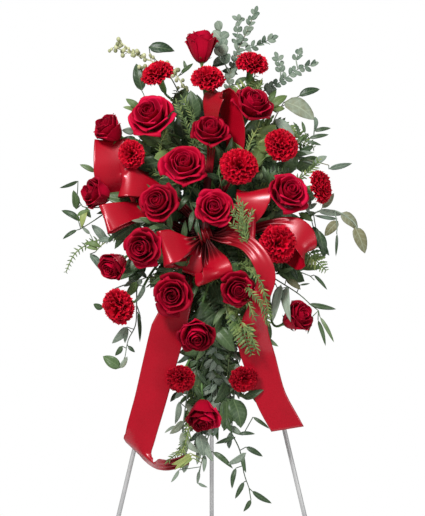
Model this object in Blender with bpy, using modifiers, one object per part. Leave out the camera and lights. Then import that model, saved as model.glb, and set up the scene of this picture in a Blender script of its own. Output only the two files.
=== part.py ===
"""A standing funeral spray: roses, carnations, greenery and a ribbon bow set in a foam block on a wire easel.

The spray is laid out in the plane of the easel's front legs, which leans back from the line of its feet.
In that plane u runs to the viewer's right, w runs up the easel and d runs out of it, towards the viewer.
Flowers, leaves and ribbon are given as (u, w, d) in millimetres, with u and w from the middle of the foam.
"""

import math
import random

import bmesh
import bpy
from mathutils import Matrix, Vector
from mathutils.bvhtree import BVHTree

# Driving sizes in metres, angles in radians
MM = 0.001
GAP = 0.0003
BELOW_FLOOR = 0.05
LEAN_BACK = math.radians(9)
LEG_SPREAD = math.radians(13)
BACK_LEG_ANGLE = math.radians(15)
FOOT_LINE_Y = -0.268
APEX_HEIGHT = 1.362
ROD_RADIUS = 0.0045
RUNG_RADIUS = 0.0035
UPPER_RUNG_HEIGHT = 1.200
LOWER_RUNG_HEIGHT = 0.823
LEG_TOP_HEIGHT = 1.322

HEAD_SIZE = (0.046, 0.015, 0.050)
HEAD_MIDDLE_HEIGHT = 1.321
SOCKET_RADIUS = ROD_RADIUS + GAP
EAR_THICKNESS = 0.003
EAR_MIDDLE_X = 0.0100
EAR_REACH = 0.026
HINGE_HEIGHT = 1.322
HINGE_BEHIND = 0.0175
PIN_RADIUS = 0.0030
PIN_HEAD_RADIUS = 0.0048
PIN_HEAD_THICKNESS = 0.0018
EYE_HOLE_RADIUS = 0.0034
EYE_RADIUS = 0.0080
EYE_WIDTH = 0.0160
ROUND_SIDES = 12
ROD_RESOLUTION = 4
THIN_SIDES = 6
THIN_TURN = 0.3

# The back leg runs on above its hinge until its front side meets the head, which stops it there
STOP_ANGLE = LEAN_BACK + BACK_LEG_ANGLE
STOP_REACH = HINGE_BEHIND - HEAD_SIZE[1] / 2 - GAP - ROD_RADIUS * math.cos(STOP_ANGLE)
STOP_LENGTH = STOP_REACH / math.sin(STOP_ANGLE)

FOAM_WIDTH = 0.110
FOAM_HEIGHT = 0.230
FOAM_DEPTH = 0.076
FOAM_MIDDLE_HEIGHT = 1.150
TRAY_WALL = 0.0025
TRAY_DEPTH = 0.022
HOOK_WIDTH = 0.012
HOOK_THICKNESS = 0.003
HOOK_SPACING = 0.040
HOOK_DROP = 0.020
TRAY_BACK = ROD_RADIUS + GAP
FOAM_BACK = TRAY_BACK + TRAY_WALL + GAP
FOAM_FRONT = FOAM_BACK + FOAM_DEPTH

STEM_RADIUS = 0.0025
STEM_SPACING = 0.0040
STEM_DEPTH_IN_FOAM = 0.028
STEM_RUN_OUT = 0.008
STEM_STEP = 0.070
CALYX_LENGTH = 0.028
TWIG_RADIUS = 0.0016
SIDE_TWIG_RADIUS = 0.0013
TWIG_STEP = 0.050
TWIG_DEPTH_IN_FOAM = 0.024
TWIG_RUN_OUT = 0.004
LEAST_TWIG_DEPTH = 0.024
HOLE_CLEARANCE = 0.0006
PICK_RADIUS = 0.0020

RIBBON_HALF_WIDTH = 0.035
RIBBON_THICKNESS = 0.0008
KNOT_PLACE = (-13, -48, 128)
KNOT_RADIUS = 0.013
ROOT_IN_KNOT = 0.009
TONGUE_DEPTH = 0.021
LOOP_STEP = 0.056
GATHERED_SHARE = 0.12
OPENING_POWER = 1.8

LEAF_THICKNESS = 0.0012
LEAF_ARCH = 0.10
LEAF_FOLD = 0.25
LEAF_FULLNESS = 0.6
LEAF_TRIES = 10
LEAF_SIZES = (0.82, 1.12)
LEAF_LEAN = (38, 62)
LEAF_PITCH = (-0.25, 0.45)
LEAF_TILT = 0.35
BARE_TWIG = 0.090
BARE_SIDE_TWIG = 0.008

FROND_THICKNESS = 0.0008
FROND_HALF_WIDTH = 0.024
FROND_SPACING = 0.020
FROND_RIB = 0.0016
LEAFLET_SLANT = 0.35
LEAFLET_DROOP = 0.15
LEAFLET_WIDTH = 0.006
LEAFLET_SHARES = (1.0, 0.7, 0.45, 0.2)
BERRY_RADII = (0.0046, 0.0064)

# How a stem or a twig is bent to pass clear of what is built: its clearance, the shares of its length
# that it holds along its first and its last direction, and how far and which way it sways
CLEARANCE = 0.0005
HOLDS = ((0.45, 0.35), (0.25, 0.35), (0.70, 0.35), (0.45, 0.15), (0.25, 0.60), (0.70, 0.60))
SWAY_SIZES = (0.018, 0.036, 0.060, 0.090)
SWAY_TURNS = 8
SWAY_DEPTHS = (0.0, 0.5, -0.5)

# Colours as linear red, green and blue, with roughness and metallic value
FINISHES = {
    "rose_petals": ((0.42, 0.004, 0.020), 0.55, 0.0),
    "carnation_petals": ((0.56, 0.008, 0.018), 0.65, 0.0),
    "stem_green": ((0.075, 0.160, 0.040), 0.55, 0.0),
    "dark_leaf": ((0.030, 0.085, 0.030), 0.40, 0.0),
    "grey_leaf": ((0.130, 0.220, 0.150), 0.60, 0.0),
    "fern_green": ((0.065, 0.190, 0.045), 0.55, 0.0),
    "seed_green": ((0.330, 0.400, 0.170), 0.60, 0.0),
    "ribbon_satin": ((0.60, 0.006, 0.026), 0.28, 0.0),
    "easel_wire": ((0.46, 0.46, 0.46), 0.40, 0.6),
    "foam_green": ((0.040, 0.115, 0.050), 0.90, 0.0),
    "tray_plastic": ((0.030, 0.070, 0.035), 0.50, 0.0),
    "pick_wood": ((0.100, 0.180, 0.070), 0.75, 0.0),
}

# Each bloom: kind, middle (u, w, d), radius, and where it looks, as degrees to the right and degrees up
BLOOMS = {
    "rose_01": ("rose", (-21, 337, 128), 31, -10, 78),
    "rose_02": ("rose", (-120, 189, 152), 47, -18, 20),
    "rose_03": ("rose", (-203, 168, 120), 29, -45, 30),
    "rose_04": ("rose", (80, 213, 152), 42, 25, 32),
    "rose_05": ("rose", (-3, 153, 165), 34, 0, 30),
    "rose_06": ("rose", (-54, 83, 172), 45, 0, 22),
    "rose_07": ("rose", (-103, 11, 168), 39, -22, 6),
    "rose_08": ("rose", (4, -2, 178), 38, 3, 4),
    "rose_09": ("rose", (150, 32, 159), 42, 22, 16),
    "rose_10": ("rose", (-228, 37, 122), 31, -58, 6),
    "rose_11": ("rose", (-134, -78, 160), 38, -20, -10),
    "rose_12": ("rose", (-190, -106, 128), 27, -40, -32),
    "rose_13": ("rose", (-75, -170, 160), 40, -10, -14),
    "rose_14": ("rose", (50, -161, 166), 34, 10, -18),
    "rose_15": ("rose", (-28, -246, 152), 38, 0, -38),
    "rose_16": ("rose", (-17, -400, 97), 37, 5, -62),
    "rose_17": ("rose", (164, -213, 128), 29, 45, 15),
    "carnation_01": ("carnation", (-108, 279, 132), 33, -25, 42),
    "carnation_02": ("carnation", (-7, 265, 148), 33, 0, 40),
    "carnation_03": ("carnation", (81, 300, 132), 33, 15, 48),
    "carnation_04": ("carnation", (137, 129, 152), 34, 22, 16),
    "carnation_05": ("carnation", (54, 81, 172), 37, 5, 6),
    "carnation_06": ("carnation", (214, 50, 126), 34, 66, 5),
    "carnation_07": ("carnation", (-158, 112, 147), 29, -24, -10),
    "carnation_08": ("carnation", (130, -71, 160), 38, 20, -6),
    "carnation_09": ("carnation", (-182, -189, 128), 35, -35, -18),
    "carnation_10": ("carnation", (-62, -333, 122), 29, -12, -32),
    "carnation_11": ("carnation", (64, -333, 118), 28, 12, -34),
}

# Each group of stems stands in one slot: its mouth on the foam, the way out of it, the way the row runs
STEM_GROUPS = {
    "stems_top": ((0, 115, 46), (0, 1, 0), (1, 0, 0),
                  ["carnation_07", "rose_03", "carnation_01", "rose_01", "carnation_02", "carnation_03"]),
    "stems_upper": ((0, 72, None), (0, 0, 1), (1, 0, 0),
                    ["rose_02", "rose_06", "rose_05", "rose_08", "carnation_05", "rose_04", "carnation_04"]),
    "stems_left": ((-55, 34, 50), (-1, 0, 0), (0, 1, 0),
                   ["rose_07", "rose_10"]),
    "stems_lower_left": ((-55, -62, 50), (-1, 0, 0), (0, 1, 0),
                         ["rose_13", "carnation_09", "rose_12", "rose_11"]),
    "stems_right": ((55, 6, 50), (1, 0, 0), (0, 1, 0),
                    ["rose_17", "carnation_08", "carnation_06", "rose_09"]),
    "stems_front": ((10, -88, None), (0, 0, 1), (1, 0, 0),
                    ["rose_15", "rose_14"]),
    "stems_bottom": ((0, -115, 52), (0, -1, 0), (1, 0, 0),
                     ["carnation_10", "rose_16", "carnation_11"]),
}

# The bow's loops: points from the knot out to the tip and back, the way the ribbon's width runs, and how
# far from the knot the ribbon has opened to its full width
LOOPS = {
    "left_high": ([(-70, -10, 104), (-118, 24, 100), (-165, 58, 102), (-200, 84, 114), (-206, 108, 124),
                   (-206, 132, 122), (-204, 112, 102), (-172, 66, 90), (-90, 6, 94)], (1, 0.1, 0), 0.20),
    "left_middle": ([(-70, 2, 128), (-126, 40, 140), (-172, 64, 150), (-166, 66, 130), (-80, 10, 118)],
                    (0.45, 1, 0), 0.18),
    "left_low": ([(-80, -36, 122), (-140, -34, 138), (-205, -14, 156), (-212, -10, 138), (-140, -30, 120),
                  (-70, -40, 112)], (0.1, 1, 0.2), 0.19),
    "left_front": ([(-46, -62, 150), (-75, -72, 170), (-100, -80, 172), (-100, -84, 150), (-60, -74, 134)],
                   (0.35, 1, 0), 0.10),
    "top": ([(-12, 20, 112), (-2, 80, 120), (24, 130, 130), (36, 168, 142), (26, 212, 148),
             (10, 244, 140), (2, 222, 120), (6, 150, 108), (-12, 50, 102)], (1, 0.1, 0.35), 0.20),
    "right_high": ([(26, -22, 138), (62, 10, 158), (94, 32, 166), (90, 32, 146), (34, -16, 126)],
                   (-0.3, 1, 0), 0.12),
    "right_low": ([(50, -44, 126), (120, -30, 138), (176, -38, 162), (198, -70, 156), (180, -56, 134),
                   (110, -40, 120), (40, -52, 116)], (0.5, 0.8, 0.3), 0.20),
    "bottom": ([(-8, -86, 150), (-2, -120, 172), (4, -146, 176), (6, -150, 158), (0, -110, 140),
                (-6, -80, 132)], (1, -0.25, 0), 0.09),
}

# The two tails: points down each, the way the width runs at each point, and the share of the full width
TAILS = {
    "streamer_left": [
        ((-40, -100, 64), (1, 0, 0), 0.14),
        ((-40, -100, 90), (1, 0, 0), 0.14),
        ((-48, -135, 98), (1, 0, 0), 0.30),
        ((-66, -180, 104), (1, 0.1, 0.1), 0.75),
        ((-84, -225, 102), (1, 0.1, 0), 1.0),
        ((-103, -295, 94), (1, 0.18, 0), 1.0),
        ((-118, -365, 84), (1, 0.2, 0), 1.0),
        ((-140, -425, 70), (1, 0.25, 0), 1.0),
        ((-141, -462, 56), (1, 0.5, 0.3), 1.0),
        ((-118, -488, 52), (0.5, 0.5, 1), 0.9),
        ((-86, -498, 62), (0.1, 0.3, 1), 0.6),
        ((-66, -502, 74), (0, 0.2, 1), 0.35),
    ],
    "streamer_right": [
        ((6, -52, 134), (0, 0.2, 1), 0.20),
        ((36, -58, 158), (0.2, 1, 0), 0.45),
        ((70, -72, 182), (0.5, 1, 0.2), 0.55),
        ((96, -104, 196), (1, 0.5, 0), 0.60),
        ((112, -142, 190), (1, 0.3, -0.4), 0.60),
        ((108, -182, 168), (1, 0.1, 0.5), 0.60),
        ((90, -222, 138), (1, 0, 0.2), 0.80),
        ((88, -258, 116), (1, 0, 0), 1.0),
        ((98, -303, 100), (1, -0.2, 0), 1.0),
        ((118, -366, 88), (1, -0.25, 0), 1.0),
        ((154, -428, 76), (1, -0.05, 0), 1.0),
    ],
}

# Leaf shapes in millimetres: length, width, distance along the twig from one to the next, and then the
# number of stations along the blade
COIN = (26, 22, 36, 2)
BEAD = (22, 17, 37, 1)
LANCE = (46, 12, 34, 1)
WILLOW = (55, 11, 34, 1)
SALAL = (60, 29, 50, 2)

# Greenery: finish, mouth in the foam, way out of it, then its twigs, each as what grows on it and its
# route. The first twig stands in the mouth, and each later one starts on a point of an earlier one
GREENERY = {
    "eucalyptus_upper_right": ("grey_leaf", (36, 115, 62), (0, 1, 0), [
        (BEAD, [(36, 150, 62), (34, 230, 72), (38, 292, 76), (52, 340, 76), (72, 385, 76), (88, 424, 76)]),
        (BEAD, [(52, 340, 76), (52, 372, 78), (56, 408, 78)]),
        (BEAD, [(52, 340, 76), (86, 352, 80), (122, 368, 82)]),
        (COIN, [(38, 292, 76), (22, 330, 88), (18, 384, 88)]),
        (BEAD, [(34, 230, 72), (92, 252, 80), (140, 276, 88), (176, 302, 90), (202, 310, 92)]),
        (BEAD, [(140, 276, 88), (140, 300, 92), (134, 324, 92)]),
        (BEAD, [(176, 302, 90), (172, 320, 90), (176, 334, 90)]),
    ]),
    "salal_upper_left": ("dark_leaf", (-34, 115, 62), (0, 1, 0), [
        (SALAL, [(-36, 150, 64), (-60, 230, 74), (-96, 318, 70), (-110, 350, 64), (-132, 372, 60)]),
        (SALAL, [(-96, 318, 70), (-134, 300, 76), (-160, 300, 76)]),
        (SALAL, [(-60, 230, 74), (-120, 232, 84), (-172, 236, 84)]),
    ]),
    "seeded_sprig_upper_left": ("seed_green", (-24, 115, 34), (0, 1, 0), [
        ("berries", [(-26, 150, 36), (-40, 240, 46), (-70, 304, 58), (-116, 332, 68), (-160, 348, 74),
                (-204, 360, 76)]),
        ("berries", [(-116, 332, 68), (-132, 312, 78), (-150, 306, 80)]),
        ("berries", [(-160, 348, 74), (-176, 364, 80), (-188, 372, 80)]),
    ]),
    "salal_right": ("grey_leaf", (55, 88, 50), (1, 0, 0), [
        (SALAL, [(80, 96, 50), (108, 140, 66), (126, 190, 84), (146, 224, 92), (182, 216, 96)]),
        (LANCE, [(146, 224, 92), (176, 240, 92), (186, 250, 92)]),
        (LANCE, [(108, 140, 66), (170, 120, 78), (236, 102, 92)]),
    ]),
    "ruscus_upper_right": ("dark_leaf", (55, 60, 60), (1, 0, 0), [
        (LANCE, [(84, 64, 60), (128, 96, 78), (160, 150, 92), (190, 178, 96), (214, 190, 96)]),
        (LANCE, [(160, 150, 92), (196, 156, 100), (222, 160, 100)]),
    ]),
    "eucalyptus_right": ("grey_leaf", (55, -26, 46), (1, 0, 0), [
        (COIN, [(90, -26, 46), (150, -12, 70), (204, 4, 92), (246, 6, 108), (282, -18, 116), (300, -62, 122)]),
        (LANCE, [(204, 4, 92), (224, -20, 108), (230, -40, 112)]),
        (COIN, [(246, 6, 108), (250, -24, 112), (248, -52, 112)]),
    ]),
    "ruscus_left": ("dark_leaf", (-55, 64, 34), (-1, 0, 0), [
        (LANCE, [(-90, 64, 36), (-150, 50, 50), (-210, 10, 76), (-250, 16, 86), (-276, 40, 92)]),
        (LANCE, [(-150, 50, 50), (-206, 84, 70), (-242, 94, 80)]),
        (LANCE, [(-250, 16, 86), (-272, 12, 92), (-282, 12, 92)]),
        (LANCE, [(-210, 10, 76), (-246, -20, 90), (-270, -34, 92)]),
    ]),
    "fern_left": ("fern_green", (-55, -18, 34), (-1, 0, 0), [
        ("frond", [(-90, -20, 36), (-150, -30, 56), (-200, -44, 80), (-236, -54, 92), (-272, -78, 96),
                   (-290, -116, 96)]),
        (LANCE, [(-200, -44, 80), (-222, -62, 88), (-228, -74, 88)]),
    ]),
    "eucalyptus_lower_left": ("grey_leaf", (-55, -92, 42), (-1, 0, 0), [
        (COIN, [(-80, -96, 44), (-124, -120, 66), (-156, -136, 80), (-150, -180, 74), (-152, -238, 72),
                (-170, -262, 76), (-186, -294, 78)]),
        (LANCE, [(-156, -136, 80), (-196, -150, 84), (-216, -166, 84)]),
        (LANCE, [(-150, -180, 74), (-140, -214, 66), (-142, -244, 66)]),
    ]),
    "willow_lower_right": ("dark_leaf", (55, -84, 50), (1, 0, 0), [
        (WILLOW, [(84, -88, 52), (112, -118, 78), (158, -112, 98), (200, -128, 106), (214, -136, 106)]),
        (WILLOW, [(112, -118, 78), (128, -150, 88), (132, -172, 88)]),
        (WILLOW, [(112, -118, 78), (170, -156, 84), (196, -180, 92), (222, -196, 98), (232, -214, 98)]),
    ]),
    "ruscus_bottom": ("dark_leaf", (28, -115, 36), (0, -1, 0), [
        (LANCE, [(28, -150, 36), (24, -220, 42), (20, -290, 52), (24, -360, 58), (34, -420, 60),
                 (56, -468, 58), (64, -520, 56), (72, -556, 56)]),
        (LANCE, [(20, -290, 52), (-8, -330, 54), (-40, -380, 50), (-58, -430, 52), (-56, -486, 54)]),
        (SALAL, [(24, -360, 58), (54, -378, 66), (70, -392, 70)]),
        (LANCE, [(34, -420, 60), (76, -432, 62), (94, -444, 62)]),
        (WILLOW, [(24, -360, 58), (0, -420, 46), (-6, -470, 48), (-10, -510, 50)]),
        (LANCE, [(24, -220, 42), (44, -262, 56), (60, -318, 56), (74, -344, 58)]),
        (LANCE, [(56, -468, 58), (78, -486, 58), (92, -530, 56)]),
    ]),
    "fern_upper": ("fern_green", (22, 115, 34), (0, 1, 0), [
        ("frond", [(20, 150, 34), (0, 172, 38), (-20, 190, 44), (-56, 226, 62), (-72, 262, 70)]),
        ("frond", [(20, 150, 34), (60, 176, 44), (110, 186, 58), (160, 164, 74), (206, 140, 84)]),
        ("frond", [(-20, 190, 44), (-50, 178, 48), (-110, 146, 62), (-150, 150, 70)]),
    ]),
}


def new_scene():
    """Empties the scene and makes the collection of parts, the collection of cutters and the easel's plane."""
    for old in list(bpy.data.objects):
        bpy.data.objects.remove(old, do_unlink=True)
    parts = bpy.data.collections.new("standing_funeral_spray")
    cutters = bpy.data.collections.new("cutters")
    for collection in (parts, cutters):
        bpy.context.scene.collection.children.link(collection)
    plane = bpy.data.objects.new("easel_plane", None)
    plane.location = (0, FOOT_LINE_Y, 0)
    plane.rotation_euler = (-LEAN_BACK, 0, 0)
    parts.objects.link(plane)
    bpy.context.view_layer.update()
    return parts, cutters, plane


PARTS, CUTTERS, PLANE = new_scene()


def finish(name):
    """The material of that name, made once."""
    if name in bpy.data.materials:
        return bpy.data.materials[name]
    colour, roughness, metallic = FINISHES[name]
    material = bpy.data.materials.new(name)
    material.use_nodes = True
    shader = material.node_tree.nodes["Principled BSDF"]
    shader.inputs["Base Color"].default_value = (*colour, 1.0)
    shader.inputs["Roughness"].default_value = roughness
    shader.inputs["Metallic"].default_value = metallic
    return material


def place(u, w, d):
    """A point of the spray, given in millimetres, in the easel plane's own metres."""
    return Vector((u * MM, -d * MM, FOAM_MIDDLE_HEIGHT + w * MM))


def heading(u, w, d):
    """A direction given as right, up and out."""
    return Vector((u, -d, w)).normalized()


def mesh_of(bm, name):
    """Turns a bmesh into a mesh with its faces pointing out."""
    bmesh.ops.recalc_face_normals(bm, faces=bm.faces)
    mesh = bpy.data.meshes.new(name)
    bm.to_mesh(mesh)
    bm.free()
    return mesh


def add_part(name, mesh, finish_name, parent=PLANE):
    """Makes the named sub-part from a mesh that is laid out in its parent's frame."""
    mesh.name = name
    mesh.materials.clear()
    mesh.materials.append(finish(finish_name))
    part = bpy.data.objects.new(name, mesh)
    PARTS.objects.link(part)
    part.parent = parent
    return part


def scrap(mesh, collection):
    """A working object that only serves a Boolean."""
    piece = bpy.data.objects.new("piece", mesh)
    collection.objects.link(piece)
    return piece


def bodies_of(bm):
    """The sets of points that hang together in a bmesh."""
    bodies = []
    seen = set()
    for vert in bm.verts:
        if vert in seen:
            continue
        body = {vert}
        waiting = [vert]
        while waiting:
            for edge in waiting.pop().link_edges:
                fresh = [v for v in edge.verts if v not in body]
                body.update(fresh)
                waiting.extend(fresh)
        seen |= body
        bodies.append(body)
    return bodies


def keep_outer_body(mesh):
    """Drops loose scraps and the walls of sealed hollows, and says whether what is left is closed."""
    bm = bmesh.new()
    bm.from_mesh(mesh)
    largest = max(bodies_of(bm), key=len)
    bmesh.ops.delete(bm, geom=[v for v in bm.verts if v not in largest], context="VERTS")
    closed = all(len(edge.link_faces) == 2 for edge in bm.edges) and bm.calc_volume(signed=True) > 0
    bm.to_mesh(mesh)
    bm.free()
    return closed


def combined(first, others, operation):
    """One mesh from a Boolean of the first mesh with all the others, by MANIFOLD where EXACT fails."""
    helpers = bpy.data.collections.new("helpers")
    bpy.context.scene.collection.children.link(helpers)
    base = scrap(first, CUTTERS)
    for other in others:
        scrap(other, helpers)
    modifier = base.modifiers.new("combine", "BOOLEAN")
    modifier.operation = operation
    modifier.operand_type = "COLLECTION"
    modifier.collection = helpers
    for solver in ("EXACT", "MANIFOLD"):
        modifier.solver = solver
        view = bpy.context.evaluated_depsgraph_get()
        result = bpy.data.meshes.new_from_object(base.evaluated_get(view))
        if keep_outer_body(result):
            break
    for piece in [base, *helpers.objects]:
        bpy.data.objects.remove(piece, do_unlink=True)
    bpy.data.collections.remove(helpers)
    return result


def box(centre, size):
    """A block from its centre and its size."""
    bm = bmesh.new()
    bmesh.ops.create_cube(bm, size=1.0)
    bmesh.ops.scale(bm, vec=size, verts=bm.verts)
    bmesh.ops.translate(bm, vec=centre, verts=bm.verts)
    return mesh_of(bm, "box")


def cylinder(start, end, radius, sides=ROUND_SIDES, turn=0.0):
    """A round bar between two points."""
    axis = Vector(end) - Vector(start)
    bm = bmesh.new()
    bmesh.ops.create_cone(bm, cap_ends=True, segments=sides, radius1=radius, radius2=radius, depth=axis.length)
    bmesh.ops.rotate(bm, cent=(0, 0, 0), matrix=Matrix.Rotation(turn, 3, "Z"), verts=bm.verts)
    aim = axis.to_track_quat("Z", "Y").to_matrix()
    bmesh.ops.rotate(bm, cent=(0, 0, 0), matrix=aim, verts=bm.verts)
    bmesh.ops.translate(bm, vec=(Vector(start) + Vector(end)) / 2, verts=bm.verts)
    return mesh_of(bm, "cylinder")


def tube(points, radii, resolution):
    """A tube along points, from a curve with a bevel and filled caps, as a welded mesh."""
    curve = bpy.data.curves.new("tube", "CURVE")
    curve.dimensions = "3D"
    curve.bevel_depth = 1.0
    curve.bevel_resolution = resolution
    curve.use_fill_caps = True
    spline = curve.splines.new("POLY")
    spline.points.add(len(points) - 1)
    for point, place_at, radius in zip(spline.points, points, radii):
        point.co = (*place_at, 1.0)
        point.radius = radius
    rod = scrap(curve, CUTTERS)
    view = bpy.context.evaluated_depsgraph_get()
    mesh = bpy.data.meshes.new_from_object(rod.evaluated_get(view))
    bpy.data.objects.remove(rod, do_unlink=True)
    bm = bmesh.new()
    bm.from_mesh(mesh)
    bmesh.ops.remove_doubles(bm, verts=bm.verts, dist=0.00001)
    return mesh_of(bm, "tube")


def smooth_route(points, step):
    """Points about a step apart on a smooth curve through the given ones."""
    ends = [points[0] * 2 - points[1], *points, points[-1] * 2 - points[-2]]
    route = []
    for before, start, end, after in zip(ends, ends[1:], ends[2:], ends[3:]):
        count = max(1, round((end - start).length / step))
        for i in range(count):
            t = i / count
            route.append(0.5 * (2 * start + (end - before) * t
                                + (2 * before - 5 * start + 4 * end - after) * t * t
                                + (3 * start - before - 3 * end + after) * t ** 3))
    return [*route, points[-1]]


def extent_and_tree(mesh):
    """A mesh's lowest and highest corners, and its tree for overlap tests."""
    low = Vector([min(v.co[i] for v in mesh.vertices) for i in range(3)])
    high = Vector([max(v.co[i] for v in mesh.vertices) for i in range(3)])
    bm = bmesh.new()
    bm.from_mesh(mesh)
    tree = BVHTree.FromBMesh(bm)
    bm.free()
    return low, high, tree


class Room:
    """What is already built, so that a new piece can be bent clear of it."""

    def __init__(self, taken=()):
        self.taken = list(taken)

    def add(self, name, mesh):
        """Notes the room that a mesh takes."""
        self.taken.append((name, *extent_and_tree(mesh)))

    def clear(self, mesh, leave_out=()):
        """Whether a mesh meets nothing that is already built."""
        low, high, tree = extent_and_tree(mesh)
        for name, other_low, other_high, other in self.taken:
            apart = any(low[i] > other_high[i] or high[i] < other_low[i] for i in range(3))
            if name not in leave_out and not apart and tree.overlap(other):
                return False
        return True


ROOM = Room()


def built(name, mesh, finish_name):
    """Adds a sub-part of the spray and notes the room that it takes."""
    add_part(name, mesh, finish_name)
    ROOM.add(name, mesh)


def leg_offset(height):
    """How far the front legs' centre lines stand from the middle at a height along them."""
    return (APEX_HEIGHT - height) * math.tan(LEG_SPREAD)


def cut_at_floor(mesh, frame):
    """Cuts a mesh off level with the floor and closes the cut."""
    to_local = frame.inverted()
    floor_point = to_local @ Vector((0, 0, 0))
    floor_up = to_local.to_3x3() @ Vector((0, 0, 1))
    bm = bmesh.new()
    bm.from_mesh(mesh)
    everything = [*bm.verts, *bm.edges, *bm.faces]
    cut = bmesh.ops.bisect_plane(bm, geom=everything, plane_co=floor_point, plane_no=floor_up, clear_inner=True)
    edges = [e for e in cut["geom_cut"] if isinstance(e, bmesh.types.BMEdge)]
    bmesh.ops.holes_fill(bm, edges=edges)
    return mesh_of(bm, "leg")


def easel_front():
    """The two front legs, straight rods from the head to the floor, and the rungs between them."""
    for side, name in ((-1, "easel_leg_left"), (1, "easel_leg_right")):
        ends = [Vector((side * leg_offset(h), 0, h)) for h in (LEG_TOP_HEIGHT, -BELOW_FLOOR)]
        leg = tube(ends, [ROD_RADIUS, ROD_RADIUS], ROD_RESOLUTION)
        built(name, cut_at_floor(leg, PLANE.matrix_world), "easel_wire")
    for name, height in (("easel_rung_upper", UPPER_RUNG_HEIGHT), ("easel_rung_lower", LOWER_RUNG_HEIGHT)):
        reach = leg_offset(height) - (ROD_RADIUS + GAP) / math.cos(LEG_SPREAD) - RUNG_RADIUS * math.tan(LEG_SPREAD)
        ends = [Vector((-reach, 0, height)), Vector((reach, 0, height))]
        built(name, tube(ends, [RUNG_RADIUS, RUNG_RADIUS], ROD_RESOLUTION), "easel_wire")


def easel_head():
    """The head that the legs' tops stand in, with two ears behind for the hinge pin."""
    block = box(Vector((0, 0, HEAD_MIDDLE_HEIGHT)), HEAD_SIZE)
    ears = []
    sockets = []
    for side in (-1, 1):
        ear_middle = Vector((side * EAR_MIDDLE_X, EAR_REACH / 2, HINGE_HEIGHT))
        ears.append(box(ear_middle, (EAR_THICKNESS, EAR_REACH, 2 * EYE_RADIUS)))
        heights = (LEG_TOP_HEIGHT + GAP, HEAD_MIDDLE_HEIGHT - HEAD_SIZE[2])
        ends = [Vector((side * leg_offset(h), 0, h)) for h in heights]
        sockets.append(cylinder(*ends, SOCKET_RADIUS, turn=math.pi / ROUND_SIDES))
    reach = Vector((EAR_MIDDLE_X + EAR_THICKNESS, 0, 0))
    pin_middle = Vector((0, HINGE_BEHIND, HINGE_HEIGHT))
    pin_hole = cylinder(pin_middle - reach, pin_middle + reach, EYE_HOLE_RADIUS)
    head = combined(block, ears, "UNION")
    built("easel_head", combined(head, [*sockets, pin_hole], "DIFFERENCE"), "easel_wire")


def hinge_pin():
    """The rivet through the ears and the back leg's eye, with a head outside each ear."""
    middle = Vector((0, HINGE_BEHIND, HINGE_HEIGHT))
    inner_face = EAR_MIDDLE_X + EAR_THICKNESS / 2 + GAP
    half = Vector((inner_face + PIN_HEAD_THICKNESS / 2, 0, 0))
    shaft = cylinder(middle - half, middle + half, PIN_RADIUS)
    heads = []
    for side in (-1, 1):
        inner = middle + Vector((side * inner_face, 0, 0))
        outer = inner + Vector((side * PIN_HEAD_THICKNESS, 0, 0))
        heads.append(cylinder(inner, outer, PIN_HEAD_RADIUS))
    built("easel_hinge_pin", combined(shaft, heads, "UNION"), "easel_wire")


def easel_back_leg():
    """The back leg in its own frame, from the hinge down, with its eye and the stop above the eye."""
    hinge = bpy.data.objects.new("back_leg_hinge", None)
    hinge.location = PLANE.matrix_world @ Vector((0, HINGE_BEHIND, HINGE_HEIGHT))
    hinge.rotation_euler = (BACK_LEG_ANGLE, 0, 0)
    PARTS.objects.link(hinge)
    bpy.context.view_layer.update()
    length = hinge.location.z / math.cos(BACK_LEG_ANGLE) + BELOW_FLOOR
    ends = [Vector((0, 0, STOP_LENGTH)), Vector((0, 0, -length))]
    rod = tube(ends, [ROD_RADIUS, ROD_RADIUS], ROD_RESOLUTION)
    half = Vector((EYE_WIDTH / 2, 0, 0))
    eye = cylinder(-half, half, EYE_RADIUS)
    hole = cylinder(-2 * half, 2 * half, EYE_HOLE_RADIUS)
    leg = combined(combined(rod, [eye], "UNION"), [hole], "DIFFERENCE")
    add_part("easel_leg_back", cut_at_floor(leg, hinge.matrix_world), "easel_wire", hinge)


def foam_tray():
    """A shallow tray for the foam, hung over the upper rung by two hooks."""
    outer_width = FOAM_WIDTH + 2 * (TRAY_WALL + GAP)
    outer_height = FOAM_HEIGHT + 2 * (TRAY_WALL + GAP)
    outer = box((0, -TRAY_BACK - TRAY_DEPTH / 2, FOAM_MIDDLE_HEIGHT), (outer_width, TRAY_DEPTH, outer_height))
    inner_size = (FOAM_WIDTH + 2 * GAP, TRAY_DEPTH, FOAM_HEIGHT + 2 * GAP)
    inner = box((0, -TRAY_BACK - TRAY_WALL - TRAY_DEPTH / 2, FOAM_MIDDLE_HEIGHT), inner_size)
    tray = combined(outer, [inner], "DIFFERENCE")
    rung_top = UPPER_RUNG_HEIGHT + RUNG_RADIUS + GAP
    hook_back = RUNG_RADIUS + 2 * GAP + HOOK_THICKNESS
    bars = []
    for side in (-1, 1):
        x = side * HOOK_SPACING / 2
        over = (-TRAY_BACK - TRAY_WALL / 2, hook_back)
        bars.append(box((x, sum(over) / 2, rung_top + HOOK_THICKNESS / 2),
                        (HOOK_WIDTH, over[1] - over[0], HOOK_THICKNESS)))
        bars.append(box((x, hook_back - HOOK_THICKNESS / 2, rung_top + HOOK_THICKNESS - HOOK_DROP / 2),
                        (HOOK_WIDTH, HOOK_THICKNESS, HOOK_DROP)))
    built("foam_tray", combined(tray, bars, "UNION"), "tray_plastic")


def mouth_of(u, w, d):
    """A hole's mouth on the foam: one that gives no depth is on the foam's front face."""
    return place(u, w, FOAM_FRONT / MM if d is None else d)


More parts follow.
